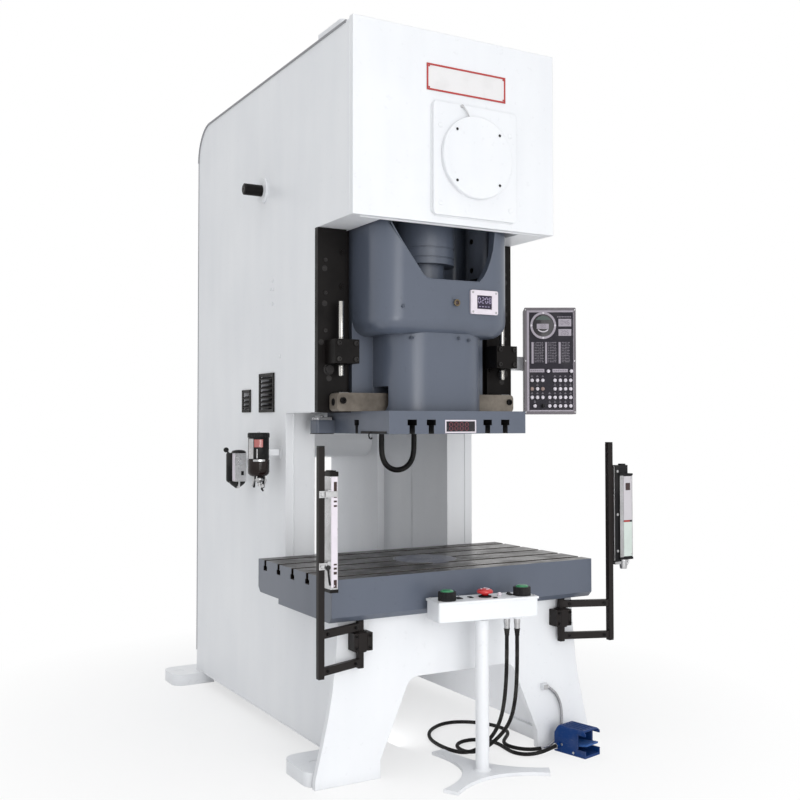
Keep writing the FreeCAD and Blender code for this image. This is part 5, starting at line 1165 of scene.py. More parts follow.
@piece("frame", "plastic_black", sharp=50.0)
def filter_dark(draft):
    """The filter's dark body, dome, foot and knob, and the dark tubes and collar by the lubricator."""
    x, y = FILTER
    add_turned(draft, (x - 2, y + 2, 1118), UP,
               [(22, 0), (30, 6), (33, 14), (33, 138), (30, 143), (0, 143)], 44)
    add_pipe(draft, [(-582, 726, 1150), (-588, 722, 1128), (-594, 720, 1108), (-588, 716, 1098)],
             [5.0, 5.0, 5.0, 3.4], 14)
    add_ring(draft, (-598, 738, 1163), DOWN, 24, 12, 12, 32)
    add_pipe(draft, [(-592, 806, 1186), (-592, 818, 1150), (-590, 826, 1110)], [7.0, 7.0, 5.0], 14)
    add_turned(draft, (-578, 1056, 1262), UP, [(35, 0), (35, 3), (30, 10), (16, 14), (0, 15)], 40)
    add_turned(draft, (-580, 1070, 1126), DOWN, [(38, 0), (38, 8), (28, 18), (14, 28), (8, 33), (0, 33)], 40)
    add_pipe(draft, [(x - 2, y + 26, 1254), (x - 8, y + 44, 1258), (x - 11, y + 60, 1266),
                     (x - 12, y + 66, 1271)], 4.6, 12)
    add_turned(draft, (x - 12, y + 60, 1274), (0, 1, 0),
               [(3, 0), (9, 2.2), (12, 7), (12.8, 12), (12, 17), (9, 21.6), (0, 24)], 24)
    add_box(draft, -575, -562, 1028.6, 1031, 1156, 1176)


@piece("frame", "zinc", bevel=3.0, stands_for=("filter_unit",))
def filter_block(draft):
    """The filter's square block with its rounded edges, screws and boss, and a bright rib below."""
    add_box(draft, -605, -549, 1030, 1066, 1126, 1262)
    for z, px in product((1136, 1252), (-596, -554)):
        add_turned(draft, (px, 1030, z), FRONT, [(3.4, 0), (3, 1.6), (0, 2)], 12)
    add_turned(draft, (-575, 1030, 1215), FRONT,
               [(15, 0), (15, 2), (13, 3), (11, 3), (10.4, 1.6), (0, 1.6)], 28)
    add_box(draft, -588, -580, 1030, 1062, 1096, 1126)


@piece("frame", "bezel_white", bevel=0.6)
def filter_strip(draft):
    add_box(draft, -606.8, -605, 1031, 1065, 1128, 1260)


@piece("frame", "sight_red", bevel=0.6)
def lubricator_window(draft):
    add_band(draft, LUBRICATOR, 49, 46, 224, 272, 1296, 1331)


# --- Guards ---
# The right gate, seen from above: its post, its pivot, and the arms from one to the other.
POST = (700, -131)
PIVOT = (493, -50)
ALONG_ARM = (0.9312, -0.3644)
ARM_REACH = 222.3
ARM_HALF = 11


def on_gates(finish_name, stands_for=(), **look):
    """Makes a piece for each gate: the function below it draws one side, -1 the left and 1 the right."""
    def make(draw):
        for side, name in zip(SIDES, ("left", "right")):
            piece("gate_" + name, finish_name, name=draw.__name__ + "_" + name,
                  stands_for=[node + name for node in stands_for], **look)(lambda draft: draw(draft, side))
    return make


def add_upright_square(draft, side, centre, half, z0, z1):
    """A length of square tube that stands at a place of the right gate, or of the left one."""
    x, y = centre
    add_box(draft, side * x - half, side * x + half, y - half, y + half, z0, z1)


@on_gates("guard_black", stands_for=("guard_gate_",), bevel=2.5)
def gate_frame(draft, side):
    """A tall post of square tube on two arms that turn on an upright pivot tube."""
    across, back = ALONG_ARM
    add_upright_square(draft, side, POST, 12.5, 455, 1315)
    add_upright_square(draft, side, PIVOT, 12, 452, 635)
    for low in (461, 599):
        corners = []
        for reach, wide in ((0, -ARM_HALF), (ARM_REACH, -ARM_HALF), (ARM_REACH, ARM_HALF), (0, ARM_HALF)):
            x = PIVOT[0] + across * reach - back * wide
            y = PIVOT[1] + back * reach + across * wide
            corners.append((side * x, y, low))
        add_prism(draft, corners, (0, 0, 30))


@on_gates("plastic_black", bevel=1.2)
def gate_caps(draft, side):
    """Plastic caps on the post's ends and on the pivot tube."""
    for centre, half, z0, z1 in ((POST, 12, 1315, 1319), (POST, 12, 451, 455), (PIVOT, 11.5, 635, 640)):
        add_upright_square(draft, side, centre, half, z0, z1)


@on_gates("black_screws")
def gate_screws(draft, side):
    """Screws through the arms near the post and near the pivot."""
    across, back = ALONG_ARM
    for z, reach in product((476, 614), (36, 192)):
        x = PIVOT[0] + across * reach + back * ARM_HALF
        y = PIVOT[1] + back * reach - across * ARM_HALF
        add_turned(draft, (side * x, y, z), (side * back, -across, 0),
                   [(6.5, 0), (6.5, 4), (5, 5.5), (3, 5.5), (3, 2.5), (0, 2.5)], 18)


@piece("frame", "guard_black", bevel=3.0, stands_for=("guard_block_left", "guard_block_right"))
def hinge_blocks(draft):
    """The block that each gate turns in: four walls round the pivot tube, with a ring above and below."""
    for side in SIDES:
        add_boxes(draft,
                  (side * 450, side * 474, -78, -20, 521, 592),
                  (side * 512, side * 530, -78, -20, 521, 592),
                  (side * 474, side * 512, -78, -68, 521, 592),
                  (side * 474, side * 512, -32, -20, 521, 592))
        for z in (592, 516):
            add_ring(draft, (side * PIVOT[0], PIVOT[1], z), UP, 27, 18, 5, 36)


@piece("frame", "black_screws", bevel=0.5)
def hinge_screws(draft):
    for side, x in product(SIDES, (462, 521)):
        for z in (534, 579):
            add_screw(draft, (side * x, -78, z), FRONT, 8)


@piece("gate_left", "bezel_white", bevel=0.6)
def curtain_left_face(draft):
    """The left curtain's white front face, with its screws."""
    add_box(draft, -665, -639, -151.4, -150, 790, 1202)
    for z in (796, 1196):
        add_turned(draft, (-652, -151.4, z), FRONT, [(3, 0), (2.6, 1.2), (0, 1.4)], 12)


@piece("gate_left", "gib_iron", bevel=1.2)
def curtain_left_caps(draft):
    add_boxes(draft,
              (-669, -635, -152, -88, 1204, 1222), (-663, -641, -144, -96, 1222, 1226),
              (-669, -635, -152, -88, 769, 782))


@piece("gate_left", "lens_dark", bevel=0.4)
def curtain_left_windows(draft):
    """Dark lens windows on the front and on the side that faces the die space."""
    for z0, z1 in ((1142, 1184), (1124, 1133), (1107, 1114), (1090, 1097), (872, 878), (856, 864),
                   (838, 848), (788, 818)):
        add_box(draft, -655, -642, -152.4, -151.4, z0, z1)
    for z0, z1 in ((1085, 1187), (786, 881), (900, 1070)):
        add_box(draft, -643.6, -642, -137, -103, z0 + 2, z1 - 2)


@piece("gate_left", "plastic_black")
def curtain_left_lenses(draft):
    """The row of small lenses behind the middle window."""
    for i in range(9):
        add_turned(draft, (-643.0, -120, 905 + i * 18), (1, 0, 0),
                   [(6, 0), (5, 1.4), (3, 2.2), (0, 2.6)], 16)


@piece("gate_left", "zinc", bevel=0.8)
def curtain_left_clamps(draft):
    """Bright clamp straps across the post's front, each with its nut, bolt and lug."""
    for z in (870, 1138):
        add_boxes(draft,
                  (-712, -665, -148.5, -143.6, z - 13, z + 13),
                  (-687.4, -683, -144, -118, z - 13, z + 13), (-670.5, -667, -149, -98, z - 15, z + 15))
        add_hexagon(draft, (-701, -148.5, z), FRONT, 13, 7)
        add_turned(draft, (-679, -148.5, z), FRONT, [(6, 0), (6, 4), (4.6, 5), (0, 5)], 18)
    add_box(draft, -690, -640, -154.6, -151.5, 1127, 1149)


@piece("gate_left", "plastic_black")
def curtain_left_lever(draft):
    """The lower clamp's lever."""
    add_turned(draft, (-679, -153, 866), FRONT, [(9, 0), (9, 5), (7, 7), (0, 7)], 20)
    add_pipe(draft, [(-679, -155, 866), (-678, -156, 842), (-674, -156, 812), (-672, -156, 800)],
             [5.0, 4.0, 4.4, 3.6], 12)


@piece("gate_right", "zinc", bevel=0.6)
def curtain_right_shell(draft):
    """The right curtain's silver profile: front edges, outer side and back."""
    add_boxes(draft,
              (735.6, 755, -163.4, -162, 812, 1171), (803, 806.8, -163.4, -162, 812, 1171),
              (806, 807.4, -162, -120, 812, 1171), (737, 806.8, -120, -118.6, 812, 1171),
              (712.6, 717, -151, -121, 797, 1212))


@piece("gate_right", "curtain_silver", bevel=0.8)
def curtain_right_panel(draft):
    add_box(draft, 755.6, 802.4, -164.0, -162, 974, 1168)


@piece("gate_right", "curtain_green", bevel=0.8)
def curtain_right_lower(draft):
    add_box(draft, 755.6, 802.4, -164.0, -162, 815, 966)


@piece("gate_right", "border_red", bevel=0.4)
def curtain_right_line(draft):
    add_box(draft, 757, 790, -164.4, -162, 966.8, 973.2)


@piece("gate_right", "lens_dark", bevel=0.4)
def curtain_right_windows(draft):
    """The display's window."""
    add_box(draft, 766, 792, -165, -164, 1106, 1138)


@piece("gate_right", "plastic_black", bevel=1.6)
def curtain_right_cap(draft):
    """The head and foot plates, and a small cap above."""
    add_boxes(draft,
              (734, 808.4, -165.4, -117.4, 1171, 1180), (734, 808.4, -165.4, -117.4, 801, 811),
              (752, 778, -152, -130, 1217, 1223))


@piece("gate_right", "zinc", bevel=1.0)
def curtain_right_plug(draft):
    """The plug under the right curtain and its bracket."""
    add_turned(draft, (770.5, -141, 801), DOWN,
               [(20, 0), (20, 10), (17, 12), (17, 30), (15, 42), (0, 42)], 28)
    add_box(draft, 718, 752, -150, -132, 780, 793)
    add_pipe(draft, [(792, -150, 801), (792, -150, 788), (786, -148, 777), (776, -146, 772)], 4.0, 10)


@piece("gate_right", "zinc")
def curtain_right_screws(draft):
    for z, x in product((824, 1158), (745, 799)):
        add_turned(draft, (x, -163.6, z), FRONT, [(3.4, 0), (3, 1.6), (0, 2)], 12)
    for z in (840, 1000, 1190):
        add_turned(draft, (726, -156, z), FRONT, [(6, 0), (6, 3), (3, 4), (0, 4)], 14)


# --- Control panel ---
STRETCH_LINE = -87.0
PANEL_STRETCH = 1.05


def on_panel(finish_name, **look):
    """Makes a piece of the panel, drawn with the face at y = 0 and the front towards -Y.

    The drawing is stretched upwards and downwards from a line under the panel's middle.
    """
    def make(draw):
        def draw_tall(draft):
            draw(draft)
            for corner in draft.verts:
                corner.co.z = (corner.co.z - STRETCH_LINE) * PANEL_STRETCH + STRETCH_LINE
        return piece("panel", finish_name, place=ON_PANEL, name=draw.__name__, **look)(draw_tall)
    return make


def rounded_outline(x0, x1, z0, z1, radius, y):
    """An upright rectangle with round corners, as points of an outline."""
    corners = ((x1 - radius, z1 - radius, 0), (x0 + radius, z1 - radius, 90),
               (x0 + radius, z0 + radius, 180), (x1 - radius, z0 + radius, 270))
    return [(x + radius * cos(radians(a + 15 * i)), y, z + radius * sin(radians(a + 15 * i)))
            for x, z, a in corners for i in range(7)]


@on_panel("panel_grey", bevel=2.0, stands_for=("control_panel",))
def panel_case(draft):
    """The case: a deep body, a thin step behind it and a raised frame round its face."""
    add_prism(draft, rounded_outline(-121.5, 121.5, -238.5, 238.5, 15, 0), (0, 58, 0))
    add_prism(draft, rounded_outline(-118, 118, -235, 235, 13, 58), (0, 2, 0))
    for x0, x1, z0, z1 in ((-121, -109, -227, 227), (110, 121, -227, 227)):
        add_box(draft, x0, x1, -5, 1, z0, z1)
    for z0, z1 in ((-238, -226), (226, 238)):
        add_prism(draft, rounded_outline(-121, 121, z0, z1, 5.5, -5), (0, 6, 0))


def add_flat(draft, x0, x1, z0, z1, front, rear=0.0):
    """A flat plate on the panel that stands out to front, forward of the face."""
    add_box(draft, x0, x1, -front, rear, z0, z1)


def add_disc(draft, x, z, radius, front, rear=0.0, steps=28):
    """A round plate on the panel with a chamfered edge."""
    add_turned(draft, (x, -rear, z), FRONT, [(radius, 0), (radius, front - rear - 0.4),
                                             (radius * 0.9, front - rear), (0, front - rear)], steps)


BOARD_FACE = -1.2
DIAL = (-32.0, 158.0)
KEY_SWITCH = (-35, -201)
# Each list of marks: from x to x, and the bar beside it from x to x.
BLOCKS = ((-87.5, -26.6, -87.0, -77.0), (-25.0, 34.0, -23.0, -14.0), (40.0, 95.0, 40.0, 50.0))
LAMPS = [(x, z) for x in (-85, -60, -35) for z in (-87, -163)] + [(-60, -125)]
LAMPS += [(x, z) for x in (22, 47, 71, 95) for z in (-87, -125, -163, -201)]
LAMPS += [(-3, -163), (-3, -201), (-72, -201), (-9, -46), (99, -46)]


@on_panel("bezel_lilac", bevel=0.8)
def panel_lip(draft):
    """The bright lip between the case and the board, wider at its left side than at its right."""
    for x0, x1, z0, z1 in ((-109, -98, -226, 226), (108, 112, -226, 226), (-98, 108, 217, 226),
                           (-98, 108, -226, -219)):
        add_box(draft, x0, x1, -4.2, 0, z0, z1)


@on_panel("board_black")
def panel_board(draft):
    add_flat(draft, -98, 108, -219, 217, 1.4)


@on_panel("bezel_lilac", bevel=0.4)
def dial_ring(draft):
    x, z = DIAL
    add_ring(draft, (x, -4.9, z), FRONT, 60.6, 50.4, 1.3, 72)


@on_panel("key_white")
def dial_dots(draft):
    x, z = DIAL
    for dx, dz in ((0, 55.5), (55.5, 0), (0, -55.5), (-55.5, 0)):
        add_disc(draft, x + dx, z + dz, 5.0, 7.4, 5.8, 16)


@on_panel("screen_dark")
def dial_face(draft):
    x, z = DIAL
    add_disc(draft, x, z, 50.2, 2.4, 1.0, 64)


@on_panel("dial_green")
def dial_top(draft):
    """The tinted upper part of the dial."""
    x, z = DIAL
    arc = [(x + 44 * cos(a), -2.3, z + 44 * sin(a)) for a in [radians(35 + 11 * i) for i in range(11)]]
    add_prism(draft, arc, (0, -0.9, 0))


@on_panel("bezel_lilac", bevel=0.4)
def panel_windows(draft):
    """Number windows, plain strips and a bar beside each list."""
    add_flat(draft, -62, -5, 143, 166, 4.0, -2.2)
    for z0, z1 in ((154, 188), (112, 142)):
        add_flat(draft, 40, 100, z0, z1, 3.0, BOARD_FACE)
    for x0, x1, bar0, bar1 in BLOCKS:
        add_flat(draft, bar0, bar1, -12, 84, 2.8, BOARD_FACE)
    add_flat(draft, -96, -27, -51, -36, 2.8, BOARD_FACE)
    add_flat(draft, 11, 83, -51, -36, 2.8, BOARD_FACE)


@on_panel("key_white", sharp=70.0)
def dial_smile(draft):
    x, z = DIAL
    add_pipe(draft, [(x + 32 * cos(a), -2.9, z + 4 + 32 * sin(a)) for a in
                     [radians(222 + 8 * i) for i in range(13)]], [2.0] + [3.0] * 11 + [2.0], 8)


@on_panel("lines_grey")
def window_marks(draft):
    """Grey digits and short marks in the windows."""
    add_digits(draft, "180", -52, 147, 15, -4.5, -3.9)
    add_digits(draft, "046", 52, 162, 19, -3.5, -2.9)
    add_digits(draft, "205", 52, 118, 17, -3.5, -2.9)
    for x0, x1 in ((-92, -31), (15, 79)):
        for i in range(6):
            left = x0 + (x1 - x0) * i / 6
            add_box(draft, left, left + 7, -3.3, -2.7, -46, -41)


@on_panel("lines_grey")
def panel_lists(draft):
    """Thirteen rows of marks on each list, and small marks above the lamp keys and a window."""
    for number, (x0, x1, bar0, bar1) in enumerate(BLOCKS):
        for row in range(13):
            z = 84 - row * 7.2
            for i in range(5):
                share = ((i * 7 + row * 5 + number * 3) % 9) / 9
                left = bar1 + 4 + i * (x1 - bar1 - 6) / 5
                add_flat(draft, left, left + 4 + 4 * share, z - 3.2, z, 2.0, BOARD_FACE)
    for x, z in LAMPS:
        if z > -60:
            continue
        add_flat(draft, x - 5, x + 5, z + 15, z + 18, 2.0, BOARD_FACE)
        add_flat(draft, x - 3, x + 3, z + 20, z + 22.5, 2.0, BOARD_FACE)
    for i in range(9):
        add_flat(draft, 34 + i * 7.4, 39.5 + i * 7.4, 194, 200, 2.2, BOARD_FACE)


@on_panel("key_white")
def lamp_caps(draft):
    for x, z in LAMPS:
        add_turned(draft, (x, BOARD_FACE, z), FRONT,
                   [(8.4, 0), (8.4, 6.4), (7.2, 8.4), (4, 9.4), (0, 9.8)], 20)


@on_panel("membrane_dark")
def lamp_rings(draft):
    for x, z in LAMPS:
        add_ring(draft, (x, BOARD_FACE, z), FRONT, 10.6, 8.5, 2.4, 20)
    add_ring(draft, (KEY_SWITCH[0], BOARD_FACE, KEY_SWITCH[1]), FRONT, 12, 8.5, 4.0, 24)


@on_panel("key_brown")
def brown_keys(draft):
    for x, z in ((-35, -125), (-85, -125)):
        add_turned(draft, (x, BOARD_FACE, z), FRONT, [(8.6, 0), (8.6, 6.6), (6, 8.6), (0, 9)], 20)


@on_panel("black_screws", bevel=0.5)
def key_switch(draft):
    """The key switch: a turned barrel and the key's blade."""
    x, z = KEY_SWITCH
    add_turned(draft, (x, BOARD_FACE, z), FRONT, [(8.4, 0), (8.4, 9), (6, 10), (0, 10)], 24)
    add_box(draft, x - 2, x + 2, -24, -8, z - 5, z + 8)


@on_panel("zinc")
def case_screws(draft):
    for x, z in product((-115, 115), (-228, 0, 228)):
        add_turned(draft, (x, -5, z), FRONT, [(3, 0), (2.6, 1.2), (0, 1.5)], 12)
    for z in (-180, 0, 180):
        add_turned(draft, (-121.5, 30, z), (-1, 0, 0), [(4, 0), (3.4, 1.4), (0, 1.8)], 12)
        add_turned(draft, (121.5, 30, z), (1, 0, 0), [(4, 0), (3.4, 1.4), (0, 1.8)], 12)


@on_panel("panel_grey", bevel=1.0)
def case_back(draft):
    """Two covers on the case's back, and a row of cooling ribs on the upper one."""
    add_box(draft, -108, 108, 60, 63, -226, -60)
    add_box(draft, -108, 108, 60, 63, 60, 226)
    for i in range(7):
        add_box(draft, -60, 60, 63, 65, 90 + i * 16, 96 + i * 16)


@piece("panel", "zinc", place=ON_PANEL, bevel=0.8)
def pivot_nuts(draft):
    """Two washers and a lock nut on the pin that the panel turns on."""
    add_ring(draft, (0, 199, 42.5), UP, 22, 14.4, 3, 32)
    add_hexagon(draft, (0, 199, 45.5), UP, 36, 12)
    add_ring(draft, (0, 199, -47.5), DOWN, 22, 14.4, 3, 32)


@piece("panel", "panel_grey", place=ON_PANEL, bevel=1.0)
def panel_yoke(draft):
    """The two leaves behind the case, rounded round the swivel pin."""
    for low in (-47.3, 30.3):
        round_end = [(26 * cos(i * pi / 12), 199 + 26 * sin(i * pi / 12), low) for i in range(13)]
        add_prism(draft, [(26, 58, low)] + round_end + [(-26, 58, low)], (0, 0, 12))


# --- Two-hand console ---
on_console = partial(piece, place=ON_CONSOLE)
PALMS = (-175, 156)
PALM_Y = -24
STOP_Y = -4
GLANDS = ((104, 8), (142, -8))


@on_console("frame", "frame_white", bevel=2.5, stands_for=("console_box",))
def console_case(draft):
    """The case with its rounded ends."""
    turns = [i * pi / 12 for i in range(7)]
    ring = []
    for x, y, start in ((198, 50, 0), (-217, 50, 90), (-217, -56, 180), (198, -56, 270)):
        ring += [(x + 10 * cos(radians(start) + a), y + 10 * sin(radians(start) + a), 629) for a in turns]
    add_prism(draft, ring, (0, 0, 78))


@on_console("frame", "plastic_black", bevel=0.6)
def palm_rings(draft):
    """Black guard rings, ribbed round the outside, on wider collars."""
    for x in PALMS:
        add_ring(draft, (x, PALM_Y, 708), UP, 34, 27.5, 36, 64)
        for c, s in around(36):
            add_turned(draft, (x + 34.2 * c, PALM_Y + 34.2 * s, 712), UP,
                       [(1.4, 0), (1.4, 29), (0.6, 31), (0, 31)], 8)
        add_ring(draft, (x, PALM_Y, 708), UP, 36, 30, 4, 64)


for name, x in zip(("left", "right"), PALMS):
    @on_console("palm_" + name, "palm_green", sharp=45.0, name="palm_cap_" + name,
                stands_for=("palm_button_" + name,))
    def palm_cap(draft):
        add_turned(draft, (x, PALM_Y, 715), UP, [(15, 0), (15, 8), (26.6, 9), (26.6, 28), (25, 32.5),
                                                 (20, 35.4), (10, 36.8), (0, 37)], 56)


@on_console("stop", "stop_red", sharp=45.0, stands_for=("stop_button",))
def stop_head(draft):
    """The mushroom head with its waist."""
    add_turned(draft, (0, STOP_Y, 715), UP, [(14, 1.5), (16, 7), (31, 10), (33, 14), (32, 19), (26, 24),
                                             (14, 27), (0, 28)], 48)


@on_console("frame", "plastic_black", bevel=0.8)
def stop_collar(draft):
    add_ring(draft, (0, STOP_Y, 708), UP, 26, 17, 6, 48)


@on_console("stop", "bezel_white")
def stop_marks(draft):
    """The raised turning arrows on the stop button's head."""
    for start in (20, 140, 260):
        turns = [radians(start + 9 * i) for i in range(8)]
        add_pipe(draft, [(17 * cos(a), STOP_Y + 17 * sin(a), 741.4) for a in turns],
                 [1.6] * 6 + [3.0, 0.5], 8)


@on_console("frame", "frame_white")
def console_lid(draft):
    """The lid, in strips with square holes for the buttons' stems, and its rim over the case."""
    stop = (0,)
    for y0, y1, holes in ((-65, -42, ()), (-42, -22, PALMS), (-22, -6, PALMS + stop), (-6, 14, stop),
                          (14, 59, ())):
        x = -225
        for hole in sorted(holes):
            add_box(draft, x, hole - 18, y0, y1, 707, 709)
            x = hole + 18
        add_box(draft, x, 206, y0, y1, 707, 709)
    for x0, x1, y0, y1 in ((-228.5, 209.5, -68.5, -66.2), (-228.5, 209.5, 60.2, 62.5),
                           (-228.5, -226.4, -66.2, 60.2), (207.4, 209.5, -66.2, 60.2)):
        add_box(draft, x0, x1, y0, y1, 699, 708)


@on_console("frame", "zinc")
def console_screws(draft):
    for x, y in product((-216, 197), (-48, 48)):
        add_turned(draft, (x, y, 710), UP, [(5, 0), (4.4, 2), (1.4, 2.2), (1.4, 1), (0, 1)], 16)
    for x in (-90, 90):
        add_turned(draft, (x, 48, 710), UP, [(5, 0), (4.4, 2), (0, 2.2)], 16)


@on_console("frame", "plastic_black", bevel=0.8)
def console_plates(draft):
    """Small dark plates and a rocker switch on the lid."""
    add_boxes(draft,
              (-127, -103, -20, 20, 710, 712.5), (-70, -54, -14, 14, 710, 712.5),
              (16, 34, -52, -40, 710, 712.5), (104, 122, -16, 16, 710, 714))
    add_prism(draft, [(107, -13, 714), (107, 13, 714), (107, 13, 719), (107, 0, 715.5)], (12, 0, 0))


@on_console("frame", "bezel_white")
def console_lamp(draft):
    add_turned(draft, (67, 0, 710), UP, [(10, 0), (10, 3), (8, 4), (8, 9), (5, 12), (0, 13)], 24)


@on_console("frame", "frame_white", bevel=1.5)
def console_flange(draft):
    """The column's flange under the case, and a collar round each gland."""
    add_turned(draft, (8, 30, 619), UP, [(46, 0), (46, 10)], 48)
    for x, y in GLANDS:
        add_ring(draft, (x, y, 614), UP, 19, 12, 8, 32)


@on_console("frame", "zinc", bevel=0.4)
def console_glands(draft):
    """The ribbed clamping nut of each cable's gland."""
    for x, y in GLANDS:
        add_turned(draft, (x, y, 608), DOWN, [(12.5, -14), (12.5, 12), (11.4, 20), (11.2, 34)], 28)
        for c, s in around(12):
            add_turned(draft, (x + 12 * c, y + 12 * s, 597), UP, [(1.4, 0), (1.4, 11)], 6)


@on_console("frame", "rubber_black", sharp=60.0)
def gland_sleeves(draft):
    for x, y in GLANDS:
        add_turned(draft, (x, y, 574), DOWN, [(12.2, 0), (12.2, 4), (10.8, 6), (11.2, 10), (9.9, 13),
                                              (10.4, 17), (9.2, 20), (9.6, 24), (8.5, 30)], 28)


# Where the stand's three arms end on the floor, in the drawing's own X and Y.
ARMS = ((-240.0, -310.0), (226.0, -313.0), (-30.0, 128.0))


@piece("frame", "frame_white", bevel=1.6, stands_for=("console_stand",))
def stand(draft):
    """A straight column on a flat three-armed base with hollow sides."""
    foot = Vector((-2.0, -170.0, 0.0))
    tips = []
    for x, y in sorted(ARMS, key=lambda p: atan2(p[1] - foot.y, p[0] - foot.x)):
        way = (Vector((x, y, 0)) - foot).normalized()
        across = Vector((-way.y, way.x, 0)) * 32
        tips.append((Vector((x, y, 0)) - across, Vector((x, y, 0)) + across))
    outline = []
    for i, (first, last) in enumerate(tips):
        following = tips[(i + 1) % 3][0]
        waist = ((last + following) * 0.5 - foot).normalized() * 82 + foot
        pull = waist * 2 - (last + following) * 0.5
        outline.append(first)
        for step in range(14):
            t = step / 14
            outline.append(last * (1 - t) ** 2 + pull * 2 * t * (1 - t) + following * t * t)
    add_prism(draft, [tuple(p) for p in outline], (0, 0, 14))
    add_turned(draft, (-2, -170, 13), UP, [(36, 0), (36, 2), (33, 5), (27.5, 8), (27.5, 600), (0, 600)], 48)


# --- Foot pedal ---
on_pedal = partial(piece, place=ON_PEDAL)


@on_pedal("frame", "pedal_blue", bevel=0.8)
def pedal_ribs(draft):
    """Ribs on the hood and raised bars round the side cut-outs."""
    for y in (-30, -10, 10, 30):
        add_box(draft, -58, 50, y - 2.5, y + 2.5, 112, 114.5)
    for y0, y1 in ((-52.5, -50), (50, 52.5)):
        add_boxes(draft,
                  (-44, -40, y0, y1, 28, 96), (-82, -44, y0, y1, 92, 96), (-82, -44, y0, y1, 26, 30))


@on_pedal("frame", "zinc")
def pedal_screws(draft):
    for y in (-38, 38):
        add_turned(draft, (66, y, 100), (0.82, 0, 0.57), [(5, 0), (4.4, 2), (0, 2.4)], 16)
    for side in SIDES:
        for x, z in ((70, 14), (-20, 12), (42, 34)):
            add_turned(draft, (x, side * 50, z), (0, side, 0), [(5.5, 0), (5, 2), (0, 2.4)], 16)


@on_pedal("frame", "zinc", bevel=0.5)
def pedal_gland(draft):
    """The gland's hexagon where the cable enters the pedal."""
    add_hexagon(draft, (60, 68, 28), (0, 1, 0), 24, 6)


@on_pedal("treadle", "treadle_blue", bevel=0.5)
def treadle_grips(draft):
    """Cross ribs that give the sole a grip."""
    for i in range(10):
        x = -72 + i * 10
        z = 41.7 + (50 - x) * 0.1073
        add_box(draft, x, x + 4, -36, 36, z - 1, z + 2.2)


# --- Stage ---
WHITE = (1.0, 1.0, 1.0, 1.0)
FLOOR_HALF = 60.0


def seen_directly(tree):
    """A mask of what the camera, a mirror or glass sees."""
    path = add_node(tree, "ShaderNodeLightPath").outputs
    seen = plus(tree, path["Is Camera Ray"], path["Is Glossy Ray"], True)
    return plus(tree, seen, path["Is Transmission Ray"], True)


def make_floor():
    """The studio floor: it keeps the shadow near the press and fades into white around it."""
    material = bpy.data.materials.new("studio_floor")
    material.use_nodes = True
    tree = material.node_tree
    principled = next(n for n in tree.nodes if n.type == "BSDF_PRINCIPLED")
    output = next(n for n in tree.nodes if n.type == "OUTPUT_MATERIAL")
    grain = noise(tree, 3.0, 3.0)
    tree.links.new(mixed(tree, grain, shade(246, 246, 247), shade(250, 250, 250)),
                   principled.inputs["Base Color"])
    principled.inputs["Roughness"].default_value = 0.7
    place = add_node(tree, "ShaderNodeTexCoord").outputs["Object"]
    far = add_node(tree, "ShaderNodeVectorMath", {0: place}, operation="LENGTH").outputs["Value"]
    white = add_node(tree, "ShaderNodeEmission", {"Color": WHITE, "Strength": 1.0})
    blend = times(tree, between(tree, far, 0.8, 2.2, 0.6, 1.0), seen_directly(tree))
    mix = add_node(tree, "ShaderNodeMixShader", {0: blend, 1: principled.outputs[0], 2: white.outputs[0]})
    tree.links.new(mix.outputs[0], output.inputs["Surface"])
    draft = bmesh.new()
    draft.faces.new([draft.verts.new((x * FLOOR_HALF, y * FLOOR_HALF, -0.0005))
                     for x, y in ((-1, -1), (1, -1), (1, 1), (-1, 1))])
    mesh = bpy.data.meshes.new("studio_floor")
    draft.to_mesh(mesh)
    draft.free()
    mesh.materials.append(material)
    floor = bpy.data.objects.new("studio_floor", mesh)
    bpy.context.scene.collection.objects.link(floor)


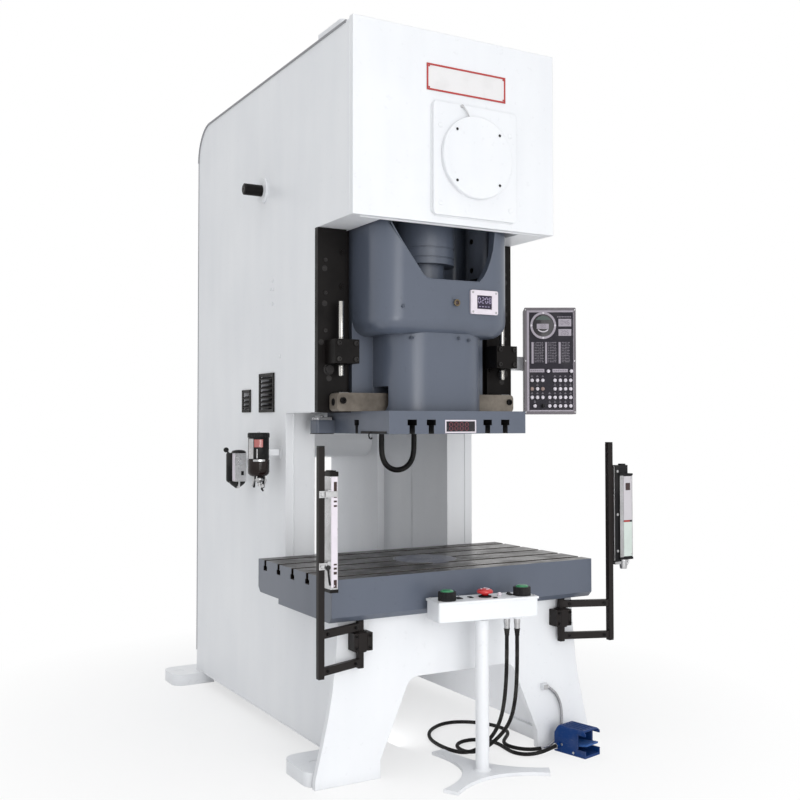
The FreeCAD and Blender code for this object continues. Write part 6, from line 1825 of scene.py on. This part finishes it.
def make_world():
    """A white backdrop, and a soft fill for the light that it gives."""
    world = bpy.data.worlds.new("studio")
    bpy.context.scene.world = world
    world.use_nodes = True
    tree = world.node_tree
    tree.nodes.clear()
    fill = add_node(tree, "ShaderNodeBackground", {"Color": (0.96, 0.98, 1.0, 1), "Strength": 0.64})
    white = add_node(tree, "ShaderNodeBackground", {"Color": WHITE, "Strength": 1.0})
    mix = add_node(tree, "ShaderNodeMixShader", {0: seen_directly(tree), 1: fill.outputs[0],
                                                 2: white.outputs[0]})
    output = add_node(tree, "ShaderNodeOutputWorld")
    tree.links.new(mix.outputs[0], output.inputs["Surface"])


def soft_lamp(name, place, aim, size, power):
    """A square lamp; place, aim and size are in metres, power in watts."""
    lamp = bpy.data.lights.new(name, "AREA")
    lamp.shape = "SQUARE"
    lamp.size = size
    lamp.energy = power
    made = bpy.data.objects.new(name, lamp)
    made.location = place
    made.rotation_euler = (Vector(aim) - Vector(place)).to_track_quat("-Z", "Y").to_euler()
    bpy.context.scene.collection.objects.link(made)


# The camera as it was fitted to the photograph: metres, radians from level, mm, shares of the width.
CAMERA_PLACE = (-2.3478, -4.6822, 1.4042)
CAMERA_UP, CAMERA_ROLL, CAMERA_TURN = 0.0278, 0.0011, -0.5248
LENS, LENS_SHIFT = 46.65, (-0.0161, -0.0073)


def make_camera():
    lens = bpy.data.cameras.new("camera")
    lens.sensor_width = 36.0
    lens.lens = LENS
    lens.shift_x, lens.shift_y = LENS_SHIFT
    lens.clip_end = 200.0
    camera = bpy.data.objects.new("camera", lens)
    camera.location = CAMERA_PLACE
    camera.rotation_euler = (pi / 2 + CAMERA_UP, CAMERA_ROLL, CAMERA_TURN)
    bpy.context.scene.collection.objects.link(camera)
    bpy.context.scene.camera = camera


make_floor()
make_world()
soft_lamp("key", (-0.4, -7.6, 2.6), (0.0, -0.4, 1.4), 4.0, 100.0)
soft_lamp("throat", (-1.0, -5.2, 0.9), (0.1, 0.0, 1.1), 1.6, 36.0)
soft_lamp("under", (-0.2, -0.55, 0.16), (0.5, -0.5, 0.42), 0.35, 1.5)
soft_lamp("top", (-1.0, -1.5, 7.5), (0.0, 0.0, 1.0), 5.0, 100.0)
make_camera()
bpy.context.scene.view_settings.view_transform = "Standard"
